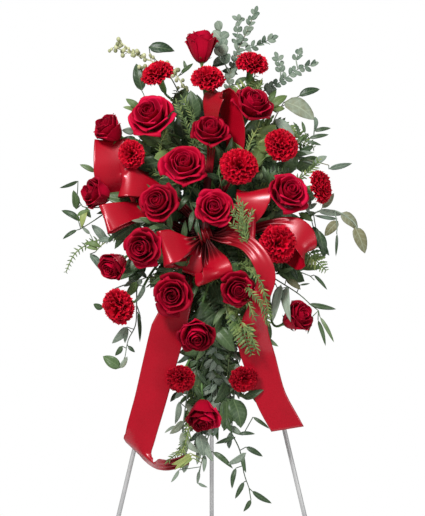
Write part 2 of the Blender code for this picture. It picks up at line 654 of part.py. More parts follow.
def slot_cutter(group):
    """The slot that one row of stems stands in."""
    mouth, out, row, names = STEM_GROUPS[group]
    out, row = heading(*out), heading(*row)
    across = out.cross(row)
    size = (row * ((len(names) - 1) * STEM_SPACING + 2 * STEM_RADIUS + 2 * HOLE_CLEARANCE)
            + across * 2 * (STEM_RADIUS + HOLE_CLEARANCE)
            + out * 2 * (STEM_DEPTH_IN_FOAM + GAP))
    return box(mouth_of(*mouth), [abs(x) for x in size])


def foam_block():
    """The wet foam, with a slot for each row of stems and a round hole for each twig and for the pick."""
    middle = Vector((0, -(FOAM_BACK + FOAM_DEPTH / 2), FOAM_MIDDLE_HEIGHT))
    block = box(middle, (FOAM_WIDTH, FOAM_DEPTH, FOAM_HEIGHT))
    cutters = [slot_cutter(group) for group in STEM_GROUPS]
    for _, mouth, out, _ in GREENERY.values():
        at, way = mouth_of(*mouth), heading(*out)
        deep = at - way * (TWIG_DEPTH_IN_FOAM + GAP)
        cutters.append(cylinder(deep, at + way * MM, TWIG_RADIUS + HOLE_CLEARANCE, THIN_SIDES, THIN_TURN))
    knot_u, knot_w, _ = KNOT_PLACE
    at = mouth_of(knot_u, knot_w, None)
    deep = at + Vector((0, TWIG_DEPTH_IN_FOAM + GAP, 0))
    out_of_foam = at - Vector((0, MM, 0))
    cutters.append(cylinder(deep, out_of_foam, PICK_RADIUS + HOLE_CLEARANCE, THIN_SIDES, THIN_TURN))
    tongue = TAILS["streamer_left"][0]
    half = RIBBON_HALF_WIDTH * tongue[2] + HOLE_CLEARANCE
    cutters.append(box(place(*tongue[0]), (2 * half, 2 * TONGUE_DEPTH, RIBBON_THICKNESS + 2 * HOLE_CLEARANCE)))
    built("foam_block", combined(block, cutters, "DIFFERENCE"), "foam_green")


def bow_pick():
    """The pick that holds the bow's knot in front of the foam."""
    knot = place(*KNOT_PLACE)
    start = Vector((knot.x, -FOAM_FRONT + TWIG_DEPTH_IN_FOAM, knot.z))
    end = Vector((knot.x, knot.y + KNOT_RADIUS + GAP, knot.z))
    built("bow_pick", cylinder(start, end, PICK_RADIUS, THIN_SIDES, THIN_TURN), "pick_wood")


def frame_along(axis, roll):
    """A rotation that turns +Z to the axis, rolled about it."""
    return axis.to_track_quat("Z", "Y").to_matrix() @ Matrix.Rotation(roll, 3, "Z")


def bloom_axis(name):
    """The way a bloom looks, in the easel plane."""
    _, _, _, right, up = BLOOMS[name]
    right, up = math.radians(right), math.radians(up)
    return Vector((math.sin(right) * math.cos(up), -math.cos(right) * math.cos(up), math.sin(up)))


ROSE_HEIGHT = 1.20
CARNATION_HEIGHT = 0.98
# Rings of a rose from its heart to its base: share of the radius, share of the height, petals in the
# ring, how far the petals stand out between their notches
ROSE_RINGS = (
    (0.15, 1.00, 2, 0.10),
    (0.21, 0.74, 2, 0.00),
    (0.45, 0.99, 3, 0.16),
    (0.41, 0.62, 3, 0.00),
    (0.75, 0.87, 5, 0.13),
    (0.62, 0.46, 5, 0.00),
    (1.00, 0.58, 5, 0.13),
    (0.62, 0.17, 5, 0.06),
    (0.22, 0.00, 1, 0.00),
)
# Rings of a carnation: share of the radius, share of the height, size of the toothed edge
CARNATION_RINGS = (
    (0.28, 1.00, 0.06),
    (0.40, 0.74, 0.00),
    (0.68, 0.88, 0.09),
    (0.66, 0.52, 0.01),
    (1.00, 0.52, 0.10),
    (0.20, 0.00, 0.00),
)
ROSE_SAMPLES = 13
CARNATION_SAMPLES = 14
HEART_HEIGHT = 0.90
# A petal's edge swells between its notches, rises there a little and is slightly ragged
MEAN_SWELL = 2 / 3
PETAL_RISE = 0.45
PETAL_RAGGED = 0.25
PETAL_SHIFT = 0.7
TOOTH_REACH = (0.6, 1.2)
TOOTH_LIFT = (0.14, 0.70)
TOOTH_SHIFT = 0.25
# The green cup under a bloom: distances back from the bloom and the stem's radius there
CALYX = {
    "rose": ((0.017, 0.0026), (0.011, 0.0060), (0.003, 0.0052), (0.0, 0.0085)),
    "carnation": ((0.022, 0.0060), (0.0, 0.0075)),
}


def rose_ring(rng, ring, layer):
    """One ring of a rose as (share of radius, angle, share of height)."""
    radius, height, petals, stand = ring
    points = []
    for k in range(ROSE_SAMPLES):
        turn = k / ROSE_SAMPLES
        along = (turn * petals + layer * PETAL_SHIFT) % 1.0
        swell = 1 - (2 * along - 1) ** 2 - MEAN_SWELL
        ragged = rng.uniform(-PETAL_RAGGED, PETAL_RAGGED)
        points.append((radius * (1 + stand * (swell + ragged)), 2 * math.pi * turn,
                       height + stand * PETAL_RISE * swell))
    return points


def carnation_ring(rng, ring, layer):
    """One ring of a carnation, with a tooth at every other point of its edge."""
    radius, height, teeth = ring
    points = []
    for k in range(CARNATION_SAMPLES):
        tooth = 1 if (k + layer) % 2 else -1
        reach = radius * (1 + teeth * tooth * rng.uniform(*TOOTH_REACH))
        lift = height + teeth * tooth * rng.uniform(*TOOTH_LIFT)
        points.append((reach, 2 * math.pi * (k + TOOTH_SHIFT * layer) / CARNATION_SAMPLES, lift))
    return points


def bloom_mesh(name):
    """A bloom: rings of petals that rise to their rims and dip between, closed at the heart and the base."""
    kind, middle, size, _, _ = BLOOMS[name]
    rng = random.Random(name)
    radius = size * MM
    height = radius * (ROSE_HEIGHT if kind == "rose" else CARNATION_HEIGHT)
    rings = ROSE_RINGS if kind == "rose" else CARNATION_RINGS
    ring_of = rose_ring if kind == "rose" else carnation_ring
    axis = bloom_axis(name)
    turn = frame_along(axis, rng.uniform(0, 2 * math.pi))
    base = place(*middle) - axis * height / 2
    bm = bmesh.new()
    loops = []
    for index, ring in enumerate(rings):
        loop = []
        for reach, angle, lift in ring_of(rng, ring, index // 2):
            local = Vector((radius * reach * math.cos(angle), radius * reach * math.sin(angle), height * lift))
            loop.append(bm.verts.new(base + turn @ local))
        loops.append(loop)
    heart = bm.verts.new(base + turn @ Vector((0, 0, height * HEART_HEIGHT)))
    foot = bm.verts.new(base)
    count = len(loops[0])
    for k in range(count):
        after = (k + 1) % count
        bm.faces.new((heart, loops[0][k], loops[0][after]))
        bm.faces.new((foot, loops[-1][after], loops[-1][k]))
        for upper, lower in zip(loops, loops[1:]):
            bm.faces.new((upper[k], lower[k], lower[after]))
            bm.faces.new((upper[k], lower[after], upper[after]))
    return mesh_of(bm, name), base


def bloom_heads():
    """All the blooms, with the point under each where its stem ends."""
    bases = {}
    for name, (kind, *_) in BLOOMS.items():
        mesh, bases[name] = bloom_mesh(name)
        built(name, mesh, "rose_petals" if kind == "rose" else "carnation_petals")
    return bases


def bezier(start, first, second, end, count):
    """Points on a cubic curve, without its first."""
    points = []
    for i in range(1, count + 1):
        t = i / count
        points.append(start * (1 - t) ** 3 + first * 3 * t * (1 - t) ** 2
                      + second * 3 * t * t * (1 - t) + end * t ** 3)
    return points


def stem_route(mouth, out, foot, axis, bend):
    """A stem from inside the foam to under its bloom, through a curve that sways to one side."""
    first_hold, last_hold, sway = bend
    start = mouth + out * STEM_RUN_OUT
    calyx_start = foot - axis * CALYX_LENGTH
    distance = (calyx_start - start).length
    first = start + out * distance * first_hold + sway
    second = calyx_start - axis * distance * last_hold + sway
    count = max(2, round(distance / STEM_STEP))
    return [mouth - out * STEM_DEPTH_IN_FOAM, start, *bezier(start, first, second, calyx_start, count)]


def stem_solid(route, foot, axis, kind, extra=0.0):
    """The stem's tube with its calyx, thicker by an extra radius for the clearance test."""
    points = list(route)
    radii = [STEM_RADIUS + extra] * len(points)
    for back, radius in CALYX[kind]:
        points.append(foot - axis * (back + GAP))
        radii.append(radius + extra)
    return tube(points, radii, 1)


def sways():
    """Sideways bends to try, the straight one first."""
    yield Vector((0, 0, 0))
    for size in SWAY_SIZES:
        for turn in range(SWAY_TURNS):
            angle = 2 * math.pi * turn / SWAY_TURNS
            for depth in SWAY_DEPTHS:
                yield Vector((math.cos(angle), depth, math.sin(angle))) * size


def bends():
    """Curves to try for a stem: how far it holds its first and its last direction, and its sway."""
    for first_hold, last_hold in HOLDS:
        for sway in sways():
            yield first_hold, last_hold, sway


def clear_stem(name, mouth, out, foot, group):
    """The first bend of a bloom's stem that meets nothing but its own bloom."""
    kind = BLOOMS[name][0]
    axis = bloom_axis(name)
    for bend in bends():
        route = stem_route(mouth, out, foot, axis, bend)
        outside = [mouth + out * 2 * MM, *route[1:]]
        if ROOM.clear(stem_solid(outside, foot, axis, kind, CLEARANCE), (name, group)):
            return stem_solid(route, foot, axis, kind)
    raise ValueError("no clear way for the stem of " + name)


def stem_rows(bases):
    """The rows of stems: each stem is bent clear of all else, then those of one row are joined."""
    for group, (mouth, out, row, names) in STEM_GROUPS.items():
        out, row = heading(*out), heading(*row)
        stems = []
        for i, name in enumerate(names):
            start = mouth_of(*mouth) + row * (i - (len(names) - 1) / 2) * STEM_SPACING
            stems.append(clear_stem(name, start, out, bases[name], group))
        built(group, combined(stems[0], stems[1:], "UNION"), "stem_green")


def strip(stations):
    """An open ribbon surface from stations of (centre, width direction, half width)."""
    bm = bmesh.new()
    rows = []
    for centre, side, half in stations:
        rows.append((bm.verts.new(centre - side * half), bm.verts.new(centre + side * half)))
    for (a, b), (c, d) in zip(rows, rows[1:]):
        bm.faces.new((a, b, c))
        bm.faces.new((b, d, c))
    mesh = bpy.data.meshes.new("ribbon")
    bm.to_mesh(mesh)
    bm.free()
    return mesh


def thickened(mesh, thickness):
    """A ribbon surface made solid by the Solidify modifier."""
    piece = scrap(mesh, CUTTERS)
    modifier = piece.modifiers.new("thickness", "SOLIDIFY")
    modifier.thickness = thickness
    modifier.offset = 0.0
    view = bpy.context.evaluated_depsgraph_get()
    result = bpy.data.meshes.new_from_object(piece.evaluated_get(view))
    bpy.data.objects.remove(piece, do_unlink=True)
    bm = bmesh.new()
    bm.from_mesh(result)
    return mesh_of(bm, "ribbon")


def squared(side, along):
    """The width direction made square to the ribbon's run."""
    return (side - along * side.dot(along)).normalized()


def loop_stations(points, side, opens_by, sway):
    """A bow loop from the knot to its tip and back, gathered narrow at the knot, shifted by a sway."""
    knot = place(*KNOT_PLACE)
    outer = [place(*p) + sway for p in points]
    ends = [knot + (p - knot).normalized() * ROOT_IN_KNOT for p in (outer[0], outer[-1])]
    route = smooth_route([ends[0], *outer, ends[1]], LOOP_STEP)
    stations = []
    for i, centre in enumerate(route):
        before, after = route[max(0, i - 1)], route[min(len(route) - 1, i + 1)]
        along = (after - before).normalized()
        open_share = min(1.0, (centre - knot).length / opens_by)
        half = RIBBON_HALF_WIDTH * (GATHERED_SHARE + (1 - GATHERED_SHARE) * open_share ** OPENING_POWER)
        stations.append((centre, squared(side, along), half))
    return stations


def clear_loop(name, blooms):
    """A bow loop, moved aside until it meets no bloom."""
    points, side, opens_by = LOOPS[name]
    for sway in sways():
        surface = strip(loop_stations(points, heading(*side), opens_by, sway))
        if blooms.clear(thickened(surface, RIBBON_THICKNESS + 2 * CLEARANCE)):
            return thickened(surface, RIBBON_THICKNESS)
    raise ValueError("no clear way for the loop " + name)


def ribbon_bow(bases):
    """The bow: its loops, clear of the blooms and of the calyxes under them, gathered into one knot."""
    blooms = Room(ROOM.taken)
    for name, base in bases.items():
        axis = bloom_axis(name)
        calyx = [base - axis * back for back in (GAP, CALYX_LENGTH)]
        blooms.add(name, tube(calyx, [STEM_RADIUS * 2] * 2, 0))
    loops = [clear_loop(name, blooms) for name in LOOPS]
    bm = bmesh.new()
    bmesh.ops.create_uvsphere(bm, u_segments=8, v_segments=5, radius=KNOT_RADIUS)
    bmesh.ops.translate(bm, vec=place(*KNOT_PLACE), verts=bm.verts)
    built("bow", combined(mesh_of(bm, "knot"), loops, "UNION"), "ribbon_satin")


def ribbon_tails():
    """The two tails that hang below the bow."""
    for name, tail in TAILS.items():
        centres = [place(*point) for point, _, _ in tail]
        stations = []
        for i, (centre, (_, side, share)) in enumerate(zip(centres, tail)):
            along = (centres[min(i + 1, len(tail) - 1)] - centres[max(i - 1, 0)]).normalized()
            stations.append((centre, squared(heading(*side), along), RIBBON_HALF_WIDTH * share))
        built(name, thickened(strip(stations), RIBBON_THICKNESS), "ribbon_satin")


def leaf_blade(base, tip, width, facing, stations, extra=0.0):
    """A leaf with a raised midrib and thin edges, arched along its length."""
    along = tip - base
    length = along.length
    along = along / length
    side = along.cross(facing).normalized()
    up = side.cross(along)
    bm = bmesh.new()
    root = bm.verts.new(base)
    rings = []
    for s in range(1, stations + 1):
        bulge = math.sin(math.pi * s / (stations + 1))
        centre = base + along * length * s / (stations + 1) + up * length * LEAF_ARCH * bulge
        half = width / 2 * bulge ** LEAF_FULLNESS + extra
        thick = LEAF_THICKNESS / 2 + extra
        edge = centre + up * half * LEAF_FOLD
        corners = (edge - side * half, centre + up * thick, edge + side * half, centre - up * thick)
        rings.append([bm.verts.new(corner) for corner in corners])
    point = bm.verts.new(tip + along * extra)
    for k in range(4):
        after = (k + 1) % 4
        bm.faces.new((root, rings[0][k], rings[0][after]))
        bm.faces.new((point, rings[-1][after], rings[-1][k]))
        for near, far in zip(rings, rings[1:]):
            bm.faces.new((near[k], far[k], far[after]))
            bm.faces.new((near[k], far[after], near[after]))
    return mesh_of(bm, "leaf")


def leaf_spots(route, spacing, bare):
    """Where a twig's leaves grow: each place, the twig's run there and its side, with one at the tip."""
    spots = []
    walked = 0.0
    due = bare + spacing
    side = 1
    for start, end in zip(route, route[1:]):
        run = (end - start).length
        while due <= walked + run:
            spots.append((start.lerp(end, (due - walked) / run), (end - start).normalized(), side))
            side = -side
            due += spacing
        walked += run
    last = (route[-1] - route[-2]).normalized()
    spots.append((route[-1] - last * 2 * TWIG_RADIUS, last, 0))
    return spots


def twig_leaves(rng, route, shape, bare):
    """Leaves set in turn on both sides of a twig and one at its tip, each turned until it is clear."""
    length, width, spacing, stations = shape
    leaves = []
    for spot, along, side in leaf_spots(route, spacing * MM, bare):
        size = length * MM * rng.uniform(*LEAF_SIZES)
        for _ in range(LEAF_TRIES):
            lean = side * math.radians(rng.uniform(*LEAF_LEAN)) if side else rng.uniform(-0.2, 0.2)
            view = heading(rng.uniform(-LEAF_TILT, LEAF_TILT), rng.uniform(-LEAF_TILT, LEAF_TILT), 1)
            way = Matrix.Rotation(lean, 3, view) @ along
            way = (way + view * rng.uniform(*LEAF_PITCH)).normalized()
            tip = spot + way * size
            root = spot + way * TWIG_RADIUS
            if ROOM.clear(leaf_blade(root, tip, width * MM, view, stations, CLEARANCE)):
                leaves.append(leaf_blade(spot, tip, width * MM, view, stations))
                break
    return leaves


def clear_reach(root, way, reach):
    """How long a leaflet can be before it meets another piece."""
    facing = way.cross(Vector((0, 1, 0))).cross(way)
    for share in LEAFLET_SHARES:
        probe = leaf_blade(root, root + way * reach * share, LEAFLET_WIDTH, facing, 1, CLEARANCE)
        if ROOM.clear(probe):
            break
    return reach * share


def frond_stations(rng, route):
    """Down a frond's rib: its middle, run, side and upper side, and how far its leaflets reach there."""
    fine = smooth_route(route, FROND_SPACING)
    last = len(fine) - 1
    stations = []
    for i, centre in enumerate(fine):
        along = (fine[min(i + 1, last)] - fine[max(i - 1, 0)]).normalized()
        side = along.cross(heading(0, 0, 1)).normalized()
        share = math.sin(math.pi * (0.20 + 0.74 * i / last)) ** 0.7
        reach = FROND_HALF_WIDTH * share * rng.uniform(0.85, 1.1)
        stations.append((centre, along, side, side.cross(along), reach))
    return stations


def frond(rng, route):
    """A fern frond: one thin arched blade whose edge is cut into leaflets down to the rib."""
    stations = frond_stations(rng, route)
    bm = bmesh.new()
    rib = [bm.verts.new(centre) for centre, *_ in stations]
    for hand in (1, -1):
        notches = [bm.verts.new(centre + side * hand * FROND_RIB) for centre, _, side, _, _ in stations]
        for i, ((centre, along, side, up, reach), (beyond, *_)) in enumerate(zip(stations, stations[1:])):
            way = side * hand + along * LEAFLET_SLANT - up * LEAFLET_DROOP
            root = centre.lerp(beyond, 0.5)
            tip = bm.verts.new(root + way * clear_reach(root, way, reach))
            bm.faces.new((rib[i], notches[i], notches[i + 1]))
            bm.faces.new((rib[i], notches[i + 1], rib[i + 1]))
            bm.faces.new((notches[i], tip, notches[i + 1]))
    return thickened(mesh_of(bm, "frond"), FROND_THICKNESS)


def berries(rng, route, bare_steps):
    """Seed heads along a sprig, one and then two to a step, past its bare steps."""
    pieces = []
    for i, (start, end) in enumerate(zip(route, route[1:])):
        for _ in range(1 + i % 2 if i >= bare_steps else 0):
            at = start.lerp(end, rng.uniform(0.2, 0.9))
            size = rng.uniform(*BERRY_RADII)
            way = Vector((rng.uniform(-1, 1), rng.uniform(-1, 1), rng.uniform(-1, 1))).normalized()
            bm = bmesh.new()
            bmesh.ops.create_icosphere(bm, subdivisions=1, radius=size)
            bmesh.ops.translate(bm, vec=at + way * size * 0.9, verts=bm.verts)
            berry = mesh_of(bm, "berry")
            if ROOM.clear(berry):
                pieces.append(berry)
    return pieces


def bent_clear(route, radius, probe_from):
    """A twig's route bent clear of all else, tested from a share of its first step on, or None."""
    for sway in sways():
        bent = [route[0], route[1] + sway / 2, *[p + sway for p in route[2:]]]
        if max(p.y for p in bent) > -LEAST_TWIG_DEPTH:
            continue
        fine = smooth_route(bent, TWIG_STEP)
        probe = [fine[0].lerp(fine[1], probe_from), *fine[1:]]
        if ROOM.clear(tube(probe, [radius + CLEARANCE] * len(probe), 0)):
            return bent
    return None


def main_twig(rng, shape, bent, deep):
    """The twig that stands in the foam, with what grows on it."""
    if shape == "frond":
        stalk = [deep, *smooth_route(bent[:4], TWIG_STEP)]
        return [tube(stalk, [TWIG_RADIUS] * len(stalk), 0), *frond_beyond(rng, stalk, bent[4:])]
    fine = [deep, *smooth_route(bent, TWIG_STEP)]
    twig = tube(fine, [TWIG_RADIUS] * len(fine), 0)
    if shape == "berries":
        return [twig, *berries(rng, fine, 4)]
    return [twig, *twig_leaves(rng, fine, shape, BARE_TWIG)]


def side_twig(rng, shape, bent):
    """A twig that grows out of an earlier one, with what grows on it."""
    if shape == "frond":
        stalk = bent[:2]
        return [tube(stalk, [SIDE_TWIG_RADIUS] * 2, 0), *frond_beyond(rng, stalk, bent[2:])]
    fine = smooth_route(bent, TWIG_STEP)
    twig = tube(fine, [SIDE_TWIG_RADIUS] * len(fine), 0)
    if shape == "berries":
        return [twig, *berries(rng, fine, 0)]
    return [twig, *twig_leaves(rng, fine, shape, BARE_SIDE_TWIG)]


def frond_beyond(rng, stalk, route):
    """The frond that goes on from a bare stalk, rooted inside the stalk's end."""
    run = (stalk[-1] - stalk[-2]).normalized()
    return [frond(rng, [stalk[-1] - run * 2 * TWIG_RADIUS, *route])]


def greenery():
    """Each leafy stem: its twigs bent clear, then what grows on them, all joined to one body."""
    for name, (colour, mouth, out, twigs) in GREENERY.items():
        rng = random.Random(name)
        start, way = mouth_of(*mouth), heading(*out)
        shape, points = twigs[0]
        bent = bent_clear([start + way * TWIG_RUN_OUT, *[place(*p) for p in points]], TWIG_RADIUS, 0)
        solids = main_twig(rng, shape, bent, start - way * TWIG_DEPTH_IN_FOAM)
        moved = dict(zip(points, bent[1:]))
        for shape, points in twigs[1:]:
            if points[0] not in moved:
                continue
            route = [moved[points[0]], *[place(*p) for p in points[1:]]]
            bent = bent_clear(route, SIDE_TWIG_RADIUS, 0.2)
            if bent:
                solids.extend(side_twig(rng, shape, bent))
                moved.update(zip(points[1:], bent[1:]))
        built(name, combined(solids[0], solids[1:], "UNION"), colour)


def build():
    easel_front()
    easel_head()
    hinge_pin()
    easel_back_leg()
    foam_tray()
    foam_block()
    bow_pick()
    bases = bloom_heads()
    ribbon_bow(bases)
    ribbon_tails()
    stem_rows(bases)
    greenery()


build()
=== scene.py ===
"""Finish of the standing funeral spray: petals, leaves and satin ribbon, built around the fixed model.

The spray lies in the plane of the easel's front legs, which leans back from the line of its feet. In that
plane u runs to the viewer's right, w runs up the easel and d runs out of it, towards the viewer. Flowers,
leaves and ribbon are given as (u, w, d) in millimetres, with u and w from the middle of the foam.
"""

import math
import random

import bpy
import numpy as np
from mathutils import Matrix, Vector
from mathutils.bvhtree import BVHTree


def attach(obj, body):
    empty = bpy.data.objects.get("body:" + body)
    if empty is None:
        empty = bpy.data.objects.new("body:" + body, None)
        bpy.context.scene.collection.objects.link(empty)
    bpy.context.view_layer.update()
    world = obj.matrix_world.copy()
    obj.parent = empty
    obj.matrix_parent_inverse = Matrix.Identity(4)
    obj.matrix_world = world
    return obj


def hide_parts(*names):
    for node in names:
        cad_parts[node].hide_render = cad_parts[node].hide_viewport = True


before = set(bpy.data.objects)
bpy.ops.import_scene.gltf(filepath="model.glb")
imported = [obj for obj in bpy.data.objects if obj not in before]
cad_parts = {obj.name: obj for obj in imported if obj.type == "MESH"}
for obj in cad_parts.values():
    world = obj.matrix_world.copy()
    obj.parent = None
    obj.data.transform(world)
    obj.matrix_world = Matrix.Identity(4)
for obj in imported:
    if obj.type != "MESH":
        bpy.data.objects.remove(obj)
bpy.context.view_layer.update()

# Driving sizes in metres, as in the model's own source
MM = 0.001
LEAN_BACK = math.radians(9)
FOOT_LINE_Y = -0.268
FOAM_MIDDLE_HEIGHT = 1.150
FOAM_FRONT = 0.0836
STEM_RADIUS = 0.0025
STEM_SPACING = 0.0040
STEM_RUN_OUT = 0.008
STEM_DEPTH_IN_FOAM = 0.028
CALYX_LENGTH = 0.028
TWIG_RADIUS = 0.0016
TWIG_DEPTH_IN_FOAM = 0.024
TWIG_RUN_OUT = 0.004
# The curves that a stem may have: how far it keeps the way of its mouth and the way of its bloom, as shares
# of the distance between them
HOLDS = ((0.45, 0.35), (0.25, 0.35), (0.70, 0.35), (0.45, 0.15), (0.25, 0.60), (0.70, 0.60))
# The sideways bends that a stem or a twig may have, and how far from the model's faces a twig's bend may lie
SWAY_SIZES = (0.018, 0.036, 0.060, 0.090)
SWAY_TURNS = 8
SWAY_DEPTHS = (0.0, 0.5, -0.5)
FARTHEST_BEND = 0.006
# The ribbon, its knot, and how it opens from the share of its width that is left there
RIBBON_HALF_WIDTH = 0.035
KNOT_PLACE = (-13, -48, 128)
KNOT_RADIUS = 0.013
ROOT_IN_KNOT = 0.009
GATHERED_SHARE = 0.12
OPENING_POWER = 1.8
# Each kind of bloom's height as a share of its radius
BLOOM_HEIGHT = {"rose": 1.20, "carnation": 0.98}
# The photograph in pixels, and its camera: how far from the spray's middle it stands, how far to the side
# and how high, and the height of its view at the spray
PHOTO_WIDTH = 425
PHOTO_HEIGHT = 516
SPRAY_Y = FOOT_LINE_Y + 0.08
CAMERA_DISTANCE = 3.4
CAMERA_SIDE = 0.0018
CAMERA_HEIGHT = 1.064
CAMERA_PLACE = Vector((CAMERA_SIDE, SPRAY_Y - CAMERA_DISTANCE, CAMERA_HEIGHT))
VIEW_HEIGHT = 1.032
# The finish: how near two points are welded, and how thick petals and leaves are
WELD_DISTANCE = 0.00002
PETAL_THICKNESS = 0.0005
LEAF_THICKNESS = 0.0004

PLANE = Matrix.Translation((0, FOOT_LINE_Y, 0)) @ Matrix.Rotation(-LEAN_BACK, 4, "X")
FRONT_BODY = "standing_spray"

# Each bloom: middle (u, w, d), radius, and where it looks, as degrees to the right and degrees up
BLOOMS = {
    "rose_01": ((-21, 337, 128), 31, -10, 78),
    "rose_02": ((-120, 189, 152), 47, -18, 20),
    "rose_03": ((-203, 168, 120), 29, -45, 30),
    "rose_04": ((80, 213, 152), 42, 25, 32),
    "rose_05": ((-3, 153, 165), 34, 0, 30),
    "rose_06": ((-54, 83, 172), 45, 0, 22),
    "rose_07": ((-103, 11, 168), 39, -22, 6),
    "rose_08": ((4, -2, 178), 38, 3, 4),
    "rose_09": ((150, 32, 159), 42, 22, 16),
    "rose_10": ((-228, 37, 122), 31, -58, 6),
    "rose_11": ((-134, -78, 160), 38, -20, -10),
    "rose_12": ((-190, -106, 128), 27, -40, -32),
    "rose_13": ((-75, -170, 160), 40, -10, -14),
    "rose_14": ((50, -161, 166), 34, 10, -18),
    "rose_15": ((-28, -246, 152), 38, 0, -38),
    "rose_16": ((-17, -400, 97), 37, 5, -62),
    "rose_17": ((164, -213, 128), 29, 45, 15),
    "carnation_01": ((-108, 279, 132), 33, -25, 42),
    "carnation_02": ((-7, 265, 148), 33, 0, 40),
    "carnation_03": ((81, 300, 132), 33, 15, 48),
    "carnation_04": ((137, 129, 152), 34, 22, 16),
    "carnation_05": ((54, 81, 172), 37, 5, 6),
    "carnation_06": ((214, 50, 126), 34, 66, 5),
    "carnation_07": ((-158, 112, 147), 29, -24, -10),
    "carnation_08": ((130, -71, 160), 38, 20, -6),
    "carnation_09": ((-182, -189, 128), 35, -35, -18),
    "carnation_10": ((-62, -333, 122), 29, -12, -32),
    "carnation_11": ((64, -333, 118), 28, 12, -34),
}
# How far each rose has opened, from a bud at 0 to full bloom at 1, where it isn't near full bloom
OPENNESS = {"rose_01": 0.25, "rose_03": 0.4, "rose_10": 0.35, "rose_12": 0.3, "rose_15": 0.5,
            "rose_16": 0.45, "rose_17": 0.4}

# Each row of stems: its mouth on the foam, the way out of it, the way the row runs, the blooms in it
STEM_GROUPS = {
    "stems_top": ((0, 115, 46), (0, 1, 0), (1, 0, 0),
                  ["carnation_07", "rose_03", "carnation_01", "rose_01", "carnation_02", "carnation_03"]),
    "stems_upper": ((0, 72, None), (0, 0, 1), (1, 0, 0),
                    ["rose_02", "rose_06", "rose_05", "rose_08", "carnation_05", "rose_04", "carnation_04"]),
    "stems_left": ((-55, 34, 50), (-1, 0, 0), (0, 1, 0),
                   ["rose_07", "rose_10"]),
    "stems_lower_left": ((-55, -62, 50), (-1, 0, 0), (0, 1, 0),
                         ["rose_13", "carnation_09", "rose_12", "rose_11"]),
    "stems_right": ((55, 6, 50), (1, 0, 0), (0, 1, 0),
                    ["rose_17", "carnation_08", "carnation_06", "rose_09"]),
    "stems_front": ((10, -88, None), (0, 0, 1), (1, 0, 0),
                    ["rose_15", "rose_14"]),
    "stems_bottom": ((0, -115, 52), (0, -1, 0), (1, 0, 0),
                     ["carnation_10", "rose_16", "carnation_11"]),
}

# The bow's loops: points from the knot out to the tip and back, the way the ribbon's width runs as it sets
# out and as it comes back, and how far from the knot the ribbon has opened to its full width
LOOPS = {
    "left_high": ([(-52, -8, 95), (-108, 32, 90), (-162, 52, 96), (-196, 70, 112), (-201, 104, 118),
                   (-200, 152, 108), (-196, 136, 92), (-154, 84, 84), (-72, 6, 86)],
                  (1, 0.05, -0.1), (1, 0.1, 0), 0.19),
    "left_middle": ([(-57, 10, 120), (-112, 40, 134), (-160, 57, 144), (-178, 61, 136), (-158, 60, 124),
                     (-67, 18, 109)], (0.10, 1, -0.42), (0.10, 1, -0.1), 0.19),
    "left_low": ([(-70, -28, 112), (-106, -4, 118), (-146, 2, 130), (-184, -8, 150), (-211, -19, 154),
                  (-206, -20, 142), (-178, -9, 128), (-140, 0, 116), (-104, -6, 110), (-66, -32, 106)],
                 (-0.30, 1, -0.22), (-0.24, 1, -0.1), 0.22),
    "left_front": ([(-42, -66, 152), (-70, -74, 170), (-92, -80, 176), (-100, -82, 164), (-88, -82, 150),
                    (-50, -72, 136)], (-0.34, 1, -0.14), (-0.20, 1, 0.1), 0.078),
    "top": ([(-14, 8, 104), (-8, 68, 112), (-2, 118, 126), (0, 165, 140), (0, 205, 150), (6, 232, 154),
             (19, 238, 154), (32, 222, 150), (39, 194, 144), (46, 162, 136), (46, 124, 124), (30, 64, 110),
             (4, 10, 104)],
            (0.42, -0.26, 0.87), (0.84, -0.30, 0.46), 0.27),
    "right_high": ([(24, -46, 140), (54, -32, 154), (74, -6, 168), (82, 22, 170), (85, 38, 160),
                    (82, 34, 142), (62, -6, 134), (16, -36, 126)], (1, 0.14, 0.16), (1, 0.2, 0), 0.125),
    "right_inner": ([(22, -54, 150), (56, -46, 164), (80, -42, 172), (84, -42, 162), (72, -42, 150),
                     (30, -48, 136)], (0.05, 1, -0.1), (0.05, 1, 0), 0.080),
    "right_low": ([(50, -44, 126), (112, -30, 142), (154, -32, 156), (178, -50, 162), (184, -80, 160),
                   (175, -98, 148), (146, -84, 130), (40, -56, 116)],
                  (0.55, 0.8, -0.15), (0.2, 1, 0.2), 0.26),
    "bottom": ([(2, -80, 144), (12, -108, 168), (12, -128, 176), (4, -142, 168), (-8, -134, 144),
                (-18, -100, 120)], (0.72, 0.66, -0.20), (1, 0.1, 0.1), 0.105),
    "inner_left": ([(-24, -62, 122), (-44, -94, 128), (-56, -116, 126), (-52, -112, 112), (-26, -70, 112)],
                   (1, -0.4, 0.1), (1, -0.4, 0), 0.060),
}

